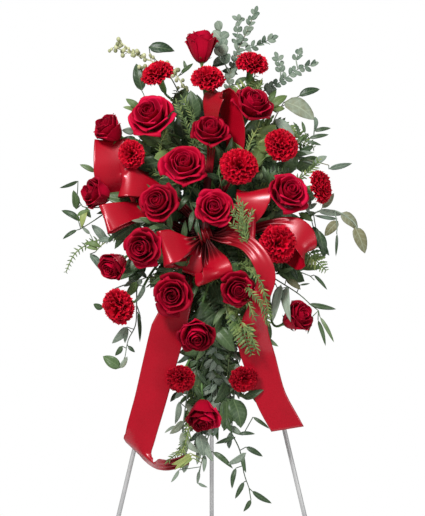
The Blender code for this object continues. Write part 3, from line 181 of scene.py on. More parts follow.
# The two tails: points down each, the way the width runs at each point, and the share of the full width
TAILS = {
    "streamer_left": [
        ((-40, -100, 64), (1, 0, 0), 0.14),
        ((-40, -100, 90), (1, 0, 0), 0.14),
        ((-48, -135, 98), (1, -0.1, 0), 0.30),
        ((-66, -180, 104), (1, -0.25, -0.1), 0.75),
        ((-85, -232, 102), (1, -0.28, -0.1), 1.0),
        ((-102, -295, 94), (1, -0.26, -0.1), 0.95),
        ((-121, -370, 84), (1, -0.27, -0.05), 0.90),
        ((-140, -436, 72), (0.90, -0.46, 0), 0.88),
        ((-145, -464, 62), (0.76, -0.62, 0.2), 0.88),
        ((-128, -486, 54), (0.50, -0.30, 0.80), 0.84),
        ((-106, -495, 56), (0.12, 0.45, 0.88), 0.58),
        ((-84, -496, 64), (0, 0.62, 0.78), 0.40),
        ((-62, -491, 72), (0, 0.66, 0.75), 0.34),
        ((-44, -485, 80), (0, 0.66, 0.75), 0.32),
    ],
    "streamer_right": [
        ((6, -52, 134), (0, 0.2, 1), 0.20),
        ((36, -58, 158), (0.2, 1, 0), 0.40),
        ((68, -72, 180), (0.5, 1, -0.2), 0.48),
        ((94, -104, 194), (1, 0.5, 0), 0.52),
        ((106, -140, 190), (1, 0.2, 0.3), 0.52),
        ((96, -180, 170), (1, -0.2, 0.45), 0.50),
        ((84, -222, 140), (1, -0.1, 0.2), 0.72),
        ((86, -264, 116), (1, -0.2, 0), 0.97),
        ((98, -306, 102), (1, 0.22, 0), 0.92),
        ((117, -366, 88), (1, 0.34, 0), 0.88),
        ((150, -427, 76), (1, 0.16, 0), 0.88),
    ],
}

# What grows on twigs. A leaf has its length, its width and the distance to the next one in millimetres, how
# far it is folded and arched, where along it it is widest, how full it is and its range of tints. A frond
# has its longest leaflet's length. A free twig keeps its own route, whatever bend it has in the model
COIN = dict(length=24, width=21, spacing=18, fold=0.10, arch=0.06, widest=0.52, fullness=0.45,
            tint=(0.1, 0.6))
BEAD = dict(length=16, width=10, spacing=12, fold=0.15, arch=0.08, widest=0.50, fullness=0.60,
            tint=(0.0, 0.5))
SPRAY = dict(length=26, width=11, spacing=12, fold=0.18, arch=0.12, widest=0.42, fullness=0.75,
             tint=(0.1, 0.7))
LANCE = dict(length=42, width=12, spacing=17, fold=0.22, arch=0.10, widest=0.42, fullness=0.75,
             tint=(0.1, 0.8))
WILLOW = dict(length=44, width=9, spacing=16, fold=0.20, arch=0.16, widest=0.40, fullness=0.80,
              tint=(0.2, 0.9))
SALAL = dict(length=60, width=32, spacing=36, fold=0.16, arch=0.10, widest=0.42, fullness=0.62,
             tint=(0.2, 0.9))
SLIM_SALAL = dict(SALAL, length=46, width=15)
BERRIES = dict(berries=True, free=True)
BARE = dict(free=True)
FROND = dict(reach=30, tint=(0.0, 0.9))
SLIM_FROND = dict(reach=9, tint=(0.0, 0.45))
PLUME = dict(length=13, width=3, spacing=6, fold=0.10, arch=0.05, widest=0.45, fullness=0.70,
             tint=(0.2, 0.9), grid=(5, 3))

# Greenery: material, mouth in the foam, way out of it, then its twigs, each as what grows on it and its
# route. The first twig stands in the mouth, and each later one starts on a point of an earlier one
GREENERY = {
    "eucalyptus_upper_right": ("grey_leaf", (36, 115, 62), (0, 1, 0), [
        (BEAD, [(36, 150, 62), (34, 230, 72), (38, 292, 76), (52, 340, 76), (72, 385, 76), (88, 424, 76)]),
        (BEAD, [(52, 340, 76), (52, 372, 78), (56, 408, 78)]),
        (BEAD, [(52, 340, 76), (86, 352, 80), (122, 368, 82)]),
        (COIN, [(38, 292, 76), (22, 330, 88), (18, 384, 88)]),
        (BEAD, [(34, 230, 72), (92, 252, 80), (140, 276, 88), (176, 302, 90), (202, 310, 92)]),
        (BEAD, [(140, 276, 88), (140, 300, 92), (134, 324, 92)]),
        (BEAD, [(176, 302, 90), (172, 320, 90), (176, 334, 90)]),
    ]),
    "salal_upper_left": ("dark_leaf", (-34, 115, 62), (0, 1, 0), [
        (BARE, [(-36, 150, 64), (-56, 230, 72), (-84, 290, 72), (-112, 324, 72), (-126, 338, 70)]),
        (BARE, [(-56, 230, 72), (-100, 236, 78), (-136, 246, 80), (-140, 256, 80)]),
        (SPRAY, [(-56, 230, 72), (-120, 226, 84), (-160, 234, 84)]),
    ]),
    "seeded_sprig_upper_left": ("seed_green", (-24, 115, 34), (0, 1, 0), [
        (BERRIES, [(-26, 150, 36), (-44, 240, 46), (-74, 300, 58), (-116, 322, 68), (-160, 338, 74),
                   (-200, 352, 76)]),
        (BERRIES, [(-116, 322, 68), (-132, 304, 78), (-150, 300, 80)]),
        (BERRIES, [(-160, 338, 74), (-176, 354, 80), (-186, 360, 80)]),
    ]),
    "salal_right": ("grey_leaf", (55, 88, 50), (1, 0, 0), [
        (BARE, [(80, 96, 50), (108, 140, 66), (124, 190, 84), (140, 222, 92)]),
        (LANCE, [(108, 140, 66), (150, 128, 76), (170, 120, 78)]),
        (BARE, [(170, 120, 78), (204, 112, 86), (236, 102, 92)]),
    ]),
    "ruscus_upper_right": ("dark_leaf", (55, 60, 60), (1, 0, 0), [
        (LANCE, [(84, 64, 60), (128, 96, 78), (160, 128, 90)]),
        (BARE, [(160, 128, 90), (176, 146, 96), (196, 156, 100), (206, 158, 100)]),
    ]),
    "eucalyptus_right": ("grey_leaf", (55, -26, 46), (1, 0, 0), [
        (BARE, [(90, -26, 46), (150, -12, 70), (204, 4, 92), (246, 6, 108), (282, -18, 116),
                (290, -34, 118)]),
        (BARE, [(246, 6, 108), (250, -24, 112), (249, -40, 112)]),
    ]),
    "ruscus_left": ("dark_leaf", (-55, 64, 34), (-1, 0, 0), [
        (LANCE, [(-90, 64, 36), (-150, 50, 50), (-196, 22, 70)]),
        (BARE, [(-196, 22, 70), (-250, 16, 86), (-262, 22, 90), (-270, 36, 92)]),
        (BARE, [(-150, 50, 50), (-206, 84, 70), (-232, 92, 78)]),
        (BARE, [(-196, 22, 70), (-238, -12, 88), (-262, -28, 92)]),
    ]),
    "fern_left": ("fern_green", (-55, -18, 34), (-1, 0, 0), [
        (SLIM_FROND, [(-90, -20, 36), (-150, -30, 56), (-200, -44, 80), (-236, -54, 92), (-272, -78, 96),
                      (-290, -116, 96)]),
        (BARE, [(-200, -44, 80), (-222, -62, 88), (-232, -74, 88)]),
    ]),
    "eucalyptus_lower_left": ("grey_leaf", (-55, -92, 42), (-1, 0, 0), [
        (SPRAY, [(-80, -96, 44), (-124, -120, 66), (-150, -132, 78)]),
        (BARE, [(-150, -132, 78), (-150, -180, 74), (-152, -220, 72), (-166, -250, 76), (-172, -284, 78)]),
        (BARE, [(-150, -132, 78), (-196, -150, 84), (-216, -176, 84)]),
        (BARE, [(-150, -180, 74), (-144, -196, 66), (-142, -206, 66)]),
    ]),
    "willow_lower_right": ("dark_leaf", (55, -84, 50), (1, 0, 0), [
        (WILLOW, [(84, -88, 52), (112, -118, 78), (130, -118, 88)]),
        (BARE, [(130, -118, 88), (158, -112, 98), (196, -126, 106), (204, -134, 106)]),
        (BARE, [(112, -118, 78), (128, -140, 88), (132, -150, 90)]),
        (BARE, [(112, -118, 78), (170, -156, 84), (196, -180, 92), (212, -194, 98)]),
    ]),
    "ruscus_bottom": ("dark_leaf", (28, -115, 36), (0, -1, 0), [
        (LANCE, [(28, -150, 36), (24, -220, 42), (20, -290, 52), (24, -360, 58), (30, -400, 60)]),
        (BARE, [(30, -400, 60), (38, -430, 60), (56, -468, 58), (64, -512, 56), (74, -542, 56)]),
        (LANCE, [(20, -290, 52), (-8, -330, 54), (-40, -380, 50)]),
        (BARE, [(-40, -380, 50), (-56, -410, 52), (-58, -440, 54)]),
        (BARE, [(38, -430, 60), (52, -436, 62), (62, -438, 62)]),
        (BARE, [(24, -360, 58), (0, -420, 46), (-12, -460, 48), (-22, -500, 50)]),
        (LANCE, [(24, -220, 42), (44, -262, 56), (60, -318, 56), (68, -334, 58)]),
    ]),
    "fern_upper": ("fern_green", (22, 115, 34), (0, 1, 0), [
        (FROND, [(20, 150, 34), (0, 172, 38), (-20, 190, 44), (-56, 226, 62), (-72, 262, 70)]),
        (FROND, [(20, 150, 34), (60, 176, 44), (110, 186, 58), (160, 164, 74), (206, 140, 84)]),
        (FROND, [(-20, 190, 44), (-50, 178, 48), (-110, 146, 62), (-150, 150, 70)]),
    ]),
}


def place(u, w, d):
    """A point of the spray, given in millimetres, in the row frame."""
    return PLANE @ Vector((u * MM, -d * MM, FOAM_MIDDLE_HEIGHT + w * MM))


def heading(u, w, d):
    """A direction given as right, up and out, in the row frame."""
    return (PLANE.to_3x3() @ Vector((u, -d, w))).normalized()


def seen(x, y, d):
    """The point at depth d of the spray that shows at pixel (x, y) of the photograph."""
    across, up = (x - PHOTO_WIDTH / 2) / PHOTO_HEIGHT, (0.5 - y / PHOTO_HEIGHT)
    way = Vector((across * VIEW_HEIGHT, CAMERA_DISTANCE, up * VIEW_HEIGHT))
    out = heading(0, 0, 1)
    return CAMERA_PLACE + way * ((place(0, 0, d) - CAMERA_PLACE).dot(out) / way.dot(out))


def mouth_of(u, w, d):
    """A hole's mouth on the foam: one that gives no depth is on the foam's front face."""
    return place(u, w, FOAM_FRONT / MM if d is None else d)


def smooth_route(points, step):
    """Points about a step apart on a smooth curve through the given ones."""
    ends = [points[0] * 2 - points[1], *points, points[-1] * 2 - points[-2]]
    route = []
    for before, start, end, after in zip(ends, ends[1:], ends[2:], ends[3:]):
        count = max(1, round((end - start).length / step))
        for i in range(count):
            t = i / count
            route.append(0.5 * (2 * start + (end - before) * t
                                + (2 * before - 5 * start + 4 * end - after) * t * t
                                + (3 * start - before - 3 * end + after) * t ** 3))
    return [*route, points[-1]]


def bezier(start, first, second, end, count):
    """Points on a cubic curve, without its first."""
    points = []
    for i in range(1, count + 1):
        t = i / count
        points.append(start * (1 - t) ** 3 + first * 3 * t * (1 - t) ** 2
                      + second * 3 * t * t * (1 - t) + end * t ** 3)
    return points


def sways():
    """The sideways bends that a piece may have, the straight one first."""
    yield Vector((0, 0, 0))
    for size in SWAY_SIZES:
        for turn in range(SWAY_TURNS):
            angle = 2 * math.pi * turn / SWAY_TURNS
            for depth in SWAY_DEPTHS:
                yield PLANE.to_3x3() @ (Vector((math.cos(angle), depth, math.sin(angle))) * size)


def tree_of(name):
    """A tree of a CAD node's faces."""
    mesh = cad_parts[name].data
    points = [vertex.co.copy() for vertex in mesh.vertices]
    faces = [tuple(face.vertices) for face in mesh.polygons]
    return BVHTree.FromPolygons(points, faces)


def distance_to(tree, points):
    """The mean distance of points from a tree's surface."""
    return sum(tree.find_nearest(p)[3] for p in points) / len(points)


class Pile:
    """Grids and tubes of points gathered for one mesh, with three values at each point for its material:
    along, from root to tip; across, from edge to edge; and tint, the same all over one petal or leaf."""

    def __init__(self):
        self.points = []
        self.values = []
        self.faces = []
        self.count = 0

    def grid(self, points, along, across, tint):
        """Adds a grid of points, given as an array of rows by columns by three."""
        rows, columns = points.shape[:2]
        index = np.arange(rows * columns).reshape(rows, columns) + self.count
        corners = (index[:-1, :-1], index[:-1, 1:], index[1:, 1:], index[1:, :-1])
        self.faces.append(np.stack(corners, axis=-1).reshape(-1, 4))
        self.points.append(points.reshape(-1, 3))
        values = np.empty((rows, columns, 3))
        values[..., 0] = along
        values[..., 1] = across
        values[..., 2] = tint
        self.values.append(values.reshape(-1, 3))
        self.count += rows * columns

    def tube(self, route, radii, tint, sides):
        """Adds a closed tube along a route."""
        rings = ring_grid(route, radii, sides)
        along = np.linspace(0, 1, len(rings))[:, None]
        self.grid(rings, along, np.linspace(-1, 1, sides + 1)[None, :], tint)


def ring_grid(route, radii, sides):
    """Rings of points round a route, with its two ends drawn to a point."""
    route = [Vector(p) for p in route]
    runs = [(b - a).normalized() for a, b in zip(route, route[1:])]
    runs = [runs[0], *[(a + b).normalized() for a, b in zip(runs, runs[1:])], runs[-1]]
    side = runs[0].orthogonal().normalized()
    rings = [[tuple(route[0])] * (sides + 1)]
    for centre, run, radius in zip(route, runs, radii):
        side = (side - run * side.dot(run)).normalized()
        other = run.cross(side)
        turns = (2 * math.pi * k / sides for k in range(sides + 1))
        ways = (side * math.cos(turn) + other * math.sin(turn) for turn in turns)
        rings.append([tuple(centre + way * radius) for way in ways])
    rings.append([tuple(route[-1])] * (sides + 1))
    return np.array(rings)


def piece(name, pile, slot, nodes=(), thickness=0.0):
    """Makes a pile into a shown piece that rides with the spray and stands for the named nodes."""
    mesh = bpy.data.meshes.new(name)
    mesh.from_pydata(np.concatenate(pile.points).tolist(), [], np.concatenate(pile.faces).tolist())
    values = np.concatenate(pile.values).astype(np.float32)
    for column, title in enumerate(("along", "across", "tint")):
        mesh.attributes.new(title, "FLOAT", "POINT").data.foreach_set("value", values[:, column].copy())
    mesh.materials.append(MATERIALS[slot])
    mesh.shade_smooth()
    mesh.validate()
    made = bpy.data.objects.new(name, mesh)
    bpy.context.scene.collection.objects.link(made)
    weld = made.modifiers.new("weld", "WELD")
    weld.merge_threshold = WELD_DISTANCE
    if thickness:
        solid = made.modifiers.new("thickness", "SOLIDIFY")
        solid.thickness = thickness
        solid.offset = 0.0
    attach(made, FRONT_BODY)
    if nodes:
        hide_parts(*nodes)
    return made


def smooth(low, high, x):
    """A smooth step from 0 to 1 as x goes from low to high."""
    t = np.clip((x - low) / (high - low), 0, 1)
    return t * t * (3 - 2 * t)


def frame_along(axis, roll):
    """A rotation that turns +Z to the axis, rolled about it."""
    return axis.to_track_quat("Z", "Y").to_matrix() @ Matrix.Rotation(roll, 3, "Z")


def kind_of(name):
    """A bloom's kind, rose or carnation."""
    return name.split("_")[0]


def bloom_axis(name):
    """The way a bloom looks, in the row frame."""
    _, _, right, up = BLOOMS[name]
    right, up = math.radians(right), math.radians(up)
    local = Vector((math.sin(right) * math.cos(up), -math.cos(right) * math.cos(up), math.sin(up)))
    return PLANE.to_3x3() @ local


def bloom_foot(name):
    """The point under a bloom where its stem ends."""
    middle, radius, _, _ = BLOOMS[name]
    return place(*middle) - bloom_axis(name) * radius * MM * BLOOM_HEIGHT[kind_of(name)] / 2


# Node materials

def new_material(name, roughness, **sockets):
    """A material with its Principled shader's plain values set, and helpers to add nodes to it."""
    made = bpy.data.materials.new(name)
    made.use_nodes = True
    shader = made.node_tree.nodes["Principled BSDF"]
    shader.inputs["Roughness"].default_value = roughness
    for title, value in sockets.items():
        shader.inputs[title.replace("_", " ")].default_value = value
    return made, Nodes(made.node_tree, shader)


class Nodes:
    """Short ways to add the nodes that the materials here share."""

    def __init__(self, tree, shader):
        self.tree = tree
        self.shader = shader

    def link(self, value, socket):
        """Joins a node's output to a socket, or sets the socket to a plain value."""
        if isinstance(value, (int, float, tuple)):
            socket.default_value = value
        else:
            self.tree.links.new(value, socket)

    def attribute(self, title):
        """One of the values that a pile keeps at each point."""
        node = self.tree.nodes.new("ShaderNodeAttribute")
        node.attribute_name = title
        return node.outputs["Fac"]

    def math(self, operation, *values, clamp=False):
        """One operation on up to three values."""
        node = self.tree.nodes.new("ShaderNodeMath")
        node.operation = operation
        node.use_clamp = clamp
        for value, socket in zip(values, node.inputs):
            self.link(value, socket)
        return node.outputs[0]

    def ramp(self, value, stops):
        """A colour ramp over a value, from stops of (position, colour)."""
        node = self.tree.nodes.new("ShaderNodeValToRGB")
        elements = node.color_ramp.elements
        while len(elements) < len(stops):
            elements.new(0.5)
        for element, (position, colour) in zip(elements, stops):
            element.position = position
            element.color = (*colour, 1.0)
        self.link(value, node.inputs["Fac"])
        return node.outputs["Color"]

    def mix(self, share, first, second, blend="MIX"):
        """Two colours mixed."""
        node = self.tree.nodes.new("ShaderNodeMix")
        node.data_type = "RGBA"
        node.blend_type = blend
        self.link(share, node.inputs["Factor"])
        for value, socket in ((first, node.inputs[6]), (second, node.inputs[7])):
            self.link((*value, 1.0) if isinstance(value, tuple) else value, socket)
        return node.outputs[2]

    def place_at(self, scale=(1, 1, 1)):
        """The object's own coordinates, stretched along each axis."""
        coordinates = self.tree.nodes.new("ShaderNodeTexCoord")
        mapping = self.tree.nodes.new("ShaderNodeMapping")
        mapping.inputs["Scale"].default_value = scale
        self.tree.links.new(coordinates.outputs["Object"], mapping.inputs["Vector"])
        return mapping.outputs["Vector"]

    def sheet_place(self, across, along, tint):
        """Coordinates laid on a petal, stem or ribbon: so many across it, along it and for its tint."""
        node = self.tree.nodes.new("ShaderNodeCombineXYZ")
        for socket, title, scale in zip(node.inputs, ("across", "along", "tint"), (across, along, tint)):
            self.link(self.math("MULTIPLY", self.attribute(title), scale), socket)
        return node.outputs["Vector"]

    def noise(self, vector, scale, detail=3.0):
        """Noise from 0 to 1."""
        node = self.tree.nodes.new("ShaderNodeTexNoise")
        node.inputs["Scale"].default_value = scale
        node.inputs["Detail"].default_value = detail
        self.tree.links.new(vector, node.inputs["Vector"])
        return node.outputs["Fac"]

    def bump(self, height, strength, distance):
        """Relief on the shader."""
        node = self.tree.nodes.new("ShaderNodeBump")
        node.inputs["Strength"].default_value = strength
        node.inputs["Distance"].default_value = distance
        self.link(height, node.inputs["Height"])
        self.tree.links.new(node.outputs["Normal"], self.shader.inputs["Normal"])

    def colour(self, value):
        """The shader's colour."""
        self.link(value, self.shader.inputs["Base Color"])

    def roughness(self, value, low, high):
        """Roughness that goes from low to high with a value."""
        self.link(self.math("MULTIPLY_ADD", value, high - low, low), self.shader.inputs["Roughness"])


def petal_material(name, painted_shade, body, rim, sheen):
    """A petal: painted shade at its foot and its own colour at its rim, brighter on the carnations as a
    painted highlight, with fine veins and its own depth of red.
    """
    made, nodes = new_material(name, 0.5, Sheen_Weight=sheen, Sheen_Roughness=0.45,
                               Sheen_Tint=(1.0, 0.15, 0.25, 1.0), Specular_IOR_Level=0.12,
                               Specular_Tint=(1.0, 0.45, 0.50, 1.0))
    veins = nodes.noise(nodes.sheet_place(7.0, 1.2, 40.0), 2.5, 5.0)
    run = nodes.math("ADD", nodes.attribute("along"), nodes.math("MULTIPLY", veins, 0.16))
    # Colour up the petal: painted shade at its foot, then the body, then the rim colour, a painted highlight
    # where it is brighter than the body
    colour = nodes.ramp(run, ((0.10, painted_shade), (0.55, body), (0.92, body), (0.982, rim)))
    # Each petal's tint darkens or lightens it at random, and on the lit roses carries painted light and
    # painted shade, its top turning pinker as a painted highlight
    depth = nodes.ramp(nodes.attribute("tint"), ((0.0, (0.46, 0.40, 0.42)), (0.12, (0.64, 0.60, 0.62)),
                                                 (0.6, (1.0, 1.0, 1.0)), (1.0, (1.35, 2.0, 1.9))))
    nodes.colour(nodes.mix(1.0, colour, depth, "MULTIPLY"))
    nodes.roughness(veins, 0.42, 0.62)
    nodes.bump(veins, 0.35, 0.0006)
    return made


def leaf_material(name, greens, rib, gloss, veins_along):
    """A leaf: a pale midrib, side veins out to its edge, and a mottled green that differs leaf to leaf."""
    made, nodes = new_material(name, gloss, Specular_IOR_Level=0.30)
    off_rib = nodes.math("ABSOLUTE", nodes.attribute("across"))
    mottle = nodes.noise(nodes.place_at(), 90.0, 4.0)
    tint = nodes.math("ADD", nodes.math("MULTIPLY", nodes.attribute("tint"), 0.80),
                      nodes.math("MULTIPLY", mottle, 0.25))
    blade = nodes.ramp(tint, tuple(zip((0.10, 0.72, 0.88), greens)))
    slant = nodes.math("SUBTRACT", nodes.attribute("along"), nodes.math("MULTIPLY", off_rib, 0.16))
    wave = nodes.math("SINE", nodes.math("MULTIPLY", slant, 2 * math.pi * veins_along))
    vein = nodes.math("POWER", nodes.math("MULTIPLY_ADD", wave, 0.5, 0.5, clamp=True), 6.0)
    middle = nodes.math("SUBTRACT", 1.0, nodes.math("MULTIPLY", off_rib, 9.0), clamp=True)
    lines = nodes.math("MAXIMUM", middle, nodes.math("MULTIPLY", vein, 0.35))
    nodes.colour(nodes.mix(nodes.math("MULTIPLY", lines, 0.55), blade, rib))
    nodes.roughness(mottle, gloss - 0.08, gloss + 0.12)
    nodes.bump(nodes.math("SUBTRACT", mottle, lines), 0.30, 0.0007)
    return made


def stem_material():
    """A cut stem: fresh green, paler by patches, faintly ribbed along its length."""
    made, nodes = new_material("stem_green", 0.45, Specular_IOR_Level=0.4)
    patches = nodes.noise(nodes.place_at((1, 1, 0.25)), 60.0)
    green = nodes.ramp(patches, ((0.30, (0.045, 0.105, 0.025)), (0.70, (0.110, 0.215, 0.055))))
    nodes.colour(green)
    ribs = nodes.noise(nodes.sheet_place(6.0, 0.6, 30.0), 3.0)
    nodes.roughness(ribs, 0.38, 0.58)
    nodes.bump(ribs, 0.3, 0.0004)
    return made


def satin_material():
    """Satin ribbon: smooth warp threads along it, a firm woven edge, soft bright gloss, and painted shade
    where it is gathered.
    """
    made, nodes = new_material("ribbon_satin", 0.26, Specular_IOR_Level=0.55,
                               Specular_Tint=(1.0, 0.62, 0.66, 1.0), Coat_Weight=0.04,
                               Coat_Roughness=0.12)
    threads = nodes.noise(nodes.sheet_place(48.0, 3.0, 0.0), 4.0, 4.0)
    broad = nodes.noise(nodes.place_at(), 14.0)
    body = nodes.ramp(broad, ((0.25, (0.26, 0.001, 0.008)), (0.75, (0.35, 0.001, 0.012))))
    body = nodes.mix(nodes.math("MULTIPLY", threads, 0.22), body, (0.24, 0.002, 0.008))
    edge = nodes.math("SUBTRACT", nodes.math("ABSOLUTE", nodes.attribute("across")), 0.955)
    edge = nodes.math("MULTIPLY", edge, 40.0, clamp=True)
    body = nodes.mix(nodes.math("MULTIPLY", edge, 0.5), body, (0.20, 0.002, 0.006))
    # Painted shade: the ribbon is darkened where it is gathered to a narrow share of its width, as at the
    # knot
    painted_gather_shade = nodes.ramp(nodes.attribute("tint"), ((0.15, (0.12, 0.07, 0.07)),
                                                   (0.36, (0.46, 0.40, 0.40)), (0.52, (1.0, 1.0, 1.0))))
    nodes.colour(nodes.mix(1.0, body, painted_gather_shade, "MULTIPLY"))
    loose = nodes.math("MULTIPLY", nodes.math("SUBTRACT", 0.6, nodes.attribute("tint"), clamp=True), 1.5)
    nodes.roughness(nodes.math("ADD", nodes.math("MULTIPLY", threads, 0.3), loose), 0.22, 0.62)
    nodes.bump(nodes.math("ADD", threads, edge), 0.10, 0.0004)
    return made


def berry_material():
    """Seed heads: pale yellow-green with a dusty bloom."""
    made, nodes = new_material("seed_green", 0.55)
    dust = nodes.noise(nodes.place_at(), 220.0)
    tint = nodes.math("ADD", nodes.math("MULTIPLY", nodes.attribute("tint"), 0.7),
                      nodes.math("MULTIPLY", dust, 0.4))
    nodes.colour(nodes.ramp(tint, ((0.2, (0.15, 0.17, 0.07)), (0.8, (0.44, 0.45, 0.25)))))
    nodes.roughness(dust, 0.45, 0.75)
    nodes.bump(dust, 0.4, 0.0006)
    return made


def wire_material():
    """The easel: light grey paint on wire, with a faint orange-peel relief and a few dull rubs."""
    made, nodes = new_material("easel_wire", 0.38, Metallic=0.15)
    rubs = nodes.noise(nodes.place_at((1, 1, 0.12)), 38.0, 5.0)
    peel = nodes.noise(nodes.place_at(), 900.0)
    nodes.colour(nodes.ramp(rubs, ((0.30, (0.27, 0.27, 0.275)), (0.50, (0.37, 0.37, 0.37)),
                                   (0.75, (0.43, 0.43, 0.425)))))
    nodes.roughness(rubs, 0.30, 0.52)
    nodes.bump(peel, 0.12, 0.0003)
    return made


def foam_material():
    """Wet foam: dark green, finely porous."""
    made, nodes = new_material("foam_green", 0.8, Specular_IOR_Level=0.3)
    pores = nodes.noise(nodes.place_at(), 700.0, 2.0)
    damp = nodes.noise(nodes.place_at(), 24.0)
    green = nodes.ramp(damp, ((0.30, (0.022, 0.068, 0.030)), (0.70, (0.055, 0.150, 0.066))))
    nodes.colour(nodes.mix(nodes.math("MULTIPLY", pores, 0.45), green, (0.015, 0.045, 0.02)))
    nodes.roughness(damp, 0.60, 0.92)
    nodes.bump(pores, 0.6, 0.0012)
    return made


def tray_material():
    """The tray: moulded dark green plastic with a fine grain."""
    made, nodes = new_material("tray_plastic", 0.42)
    grain = nodes.noise(nodes.place_at(), 650.0, 2.0)
    smears = nodes.noise(nodes.place_at(), 18.0)
    nodes.colour(nodes.ramp(smears, ((0.3, (0.022, 0.056, 0.027)), (0.7, (0.040, 0.086, 0.044)))))
    nodes.roughness(smears, 0.34, 0.52)
    nodes.bump(grain, 0.25, 0.0004)
    return made


def pick_material():
    """The pick: wood dyed green, with the grain along it."""
    made, nodes = new_material("pick_wood", 0.7)
    grain = nodes.noise(nodes.place_at((260, 12, 260)), 4.0, 4.0)
    nodes.colour(nodes.ramp(grain, ((0.3, (0.065, 0.125, 0.045)), (0.7, (0.135, 0.225, 0.095)))))
    nodes.roughness(grain, 0.6, 0.8)
    nodes.bump(grain, 0.4, 0.0006)
    return made


MATERIALS = {
    "rose_petals": petal_material("rose_petals", (0.25, 0.000, 0.010), (0.36, 0.001, 0.018),
                                  (0.35, 0.002, 0.021), 0.06),
    "carnation_petals": petal_material("carnation_petals", (0.25, 0.000, 0.008), (0.46, 0.001, 0.013),
                                       (0.52, 0.006, 0.024), 0.05),
    "stem_green": stem_material(),
    "dark_leaf": leaf_material(
        "dark_leaf", ((0.018, 0.038, 0.019), (0.068, 0.116, 0.044), (0.15, 0.20, 0.09)),
        (0.150, 0.210, 0.100), 0.38, 7),
    "grey_leaf": leaf_material(
        "grey_leaf", ((0.055, 0.095, 0.066), (0.210, 0.255, 0.200), (0.135, 0.130, 0.066)),
        (0.320, 0.370, 0.270), 0.56, 5),
    "fern_green": leaf_material(
        "fern_green", ((0.032, 0.070, 0.020), (0.130, 0.185, 0.055), (0.26, 0.30, 0.09)),
        (0.150, 0.250, 0.090), 0.50, 9),
    "seed_green": berry_material(),
    "ribbon_satin": satin_material(),
    "easel_wire": wire_material(),
    "foam_green": foam_material(),
    "tray_plastic": tray_material(),
    "pick_wood": pick_material(),
}


# Blooms

# From how dark to how bright a red a bloom's petals are, at random from petal to petal; the lit roses' range
# is painted light and the flatter carnations' range painted shade
ROSE_TINTS = (0.0, 0.75)
PAINTED_LIT_ROSE_TINTS = (0.35, 1.0)
CARNATION_TINTS = (0.1, 0.8)
PAINTED_SHADE_CARNATION_TINTS = (0.0, 0.3)
# The roses painted a brighter, pinker red than the rest, as painted light where these roses catch the most
# light
PAINTED_LIT_ROSES = ("rose_02", "rose_06", "rose_08", "rose_09", "rose_15", "rose_16")
# The roses with painted light and shade: their petals are painted pale on the side where light falls and
# dark on the other, with the way to the lit side
PAINTED_LIT_SIDE_ROSES = {"rose_15": (-0.35, 0.9, 0), "rose_16": (0.9, 0.5, 0)}
# Roses that open wider than their solid's radius, by as much
WIDER_ROSES = {"rose_01": 1.14, "rose_03": 1.16, "rose_05": 1.12, "rose_10": 1.05, "rose_12": 1.16,
               "rose_17": 1.22}
# A petal's rows up its wall, its rows round its curl, and its columns
ROSE_GRID = (7, 4, 13)
CARNATION_GRID = (5, 3, 15)
GOLDEN_TURN = math.radians(137.5)
# Rings of petals from a rose's heart out: how many, then for the open rose and for the bud how far their
# rims stand from its middle and how high, as shares of its radius and height, half the turn that each covers
# in degrees, and how far its rim rolls back in degrees
ROSE_RINGS = (
    (1, (0.06, 0.93), (0.05, 0.97), 170, 20),
    (2, (0.13, 0.97), (0.12, 1.00), 130, 35),
    (3, (0.25, 1.00), (0.24, 1.00), 84, 50),
    (4, (0.40, 0.97), (0.40, 0.99), 64, 70),
    (4, (0.58, 0.89), (0.58, 0.97), 56, 95),
    (5, (0.76, 0.76), (0.74, 0.93), 47, 120),
    (5, (0.92, 0.56), (0.86, 0.84), 45, 140),
)
BUD_EXTRA_HEIGHT = 0.45
BUD_SINK = 0.55
CARNATION_PETALS = 42
CARNATION_SPREAD = 1.05
CARNATION_HEIGHT = 1.14
# Carnations that are seen from the side, flatter than the rest and painted darker as painted shade, with
# their heights
FLATTER_CARNATIONS = {"carnation_10": 0.78, "carnation_11": 0.78}
# How far down from the middle, in degrees, the last petal points
CARNATION_LAST_ANGLE = 116


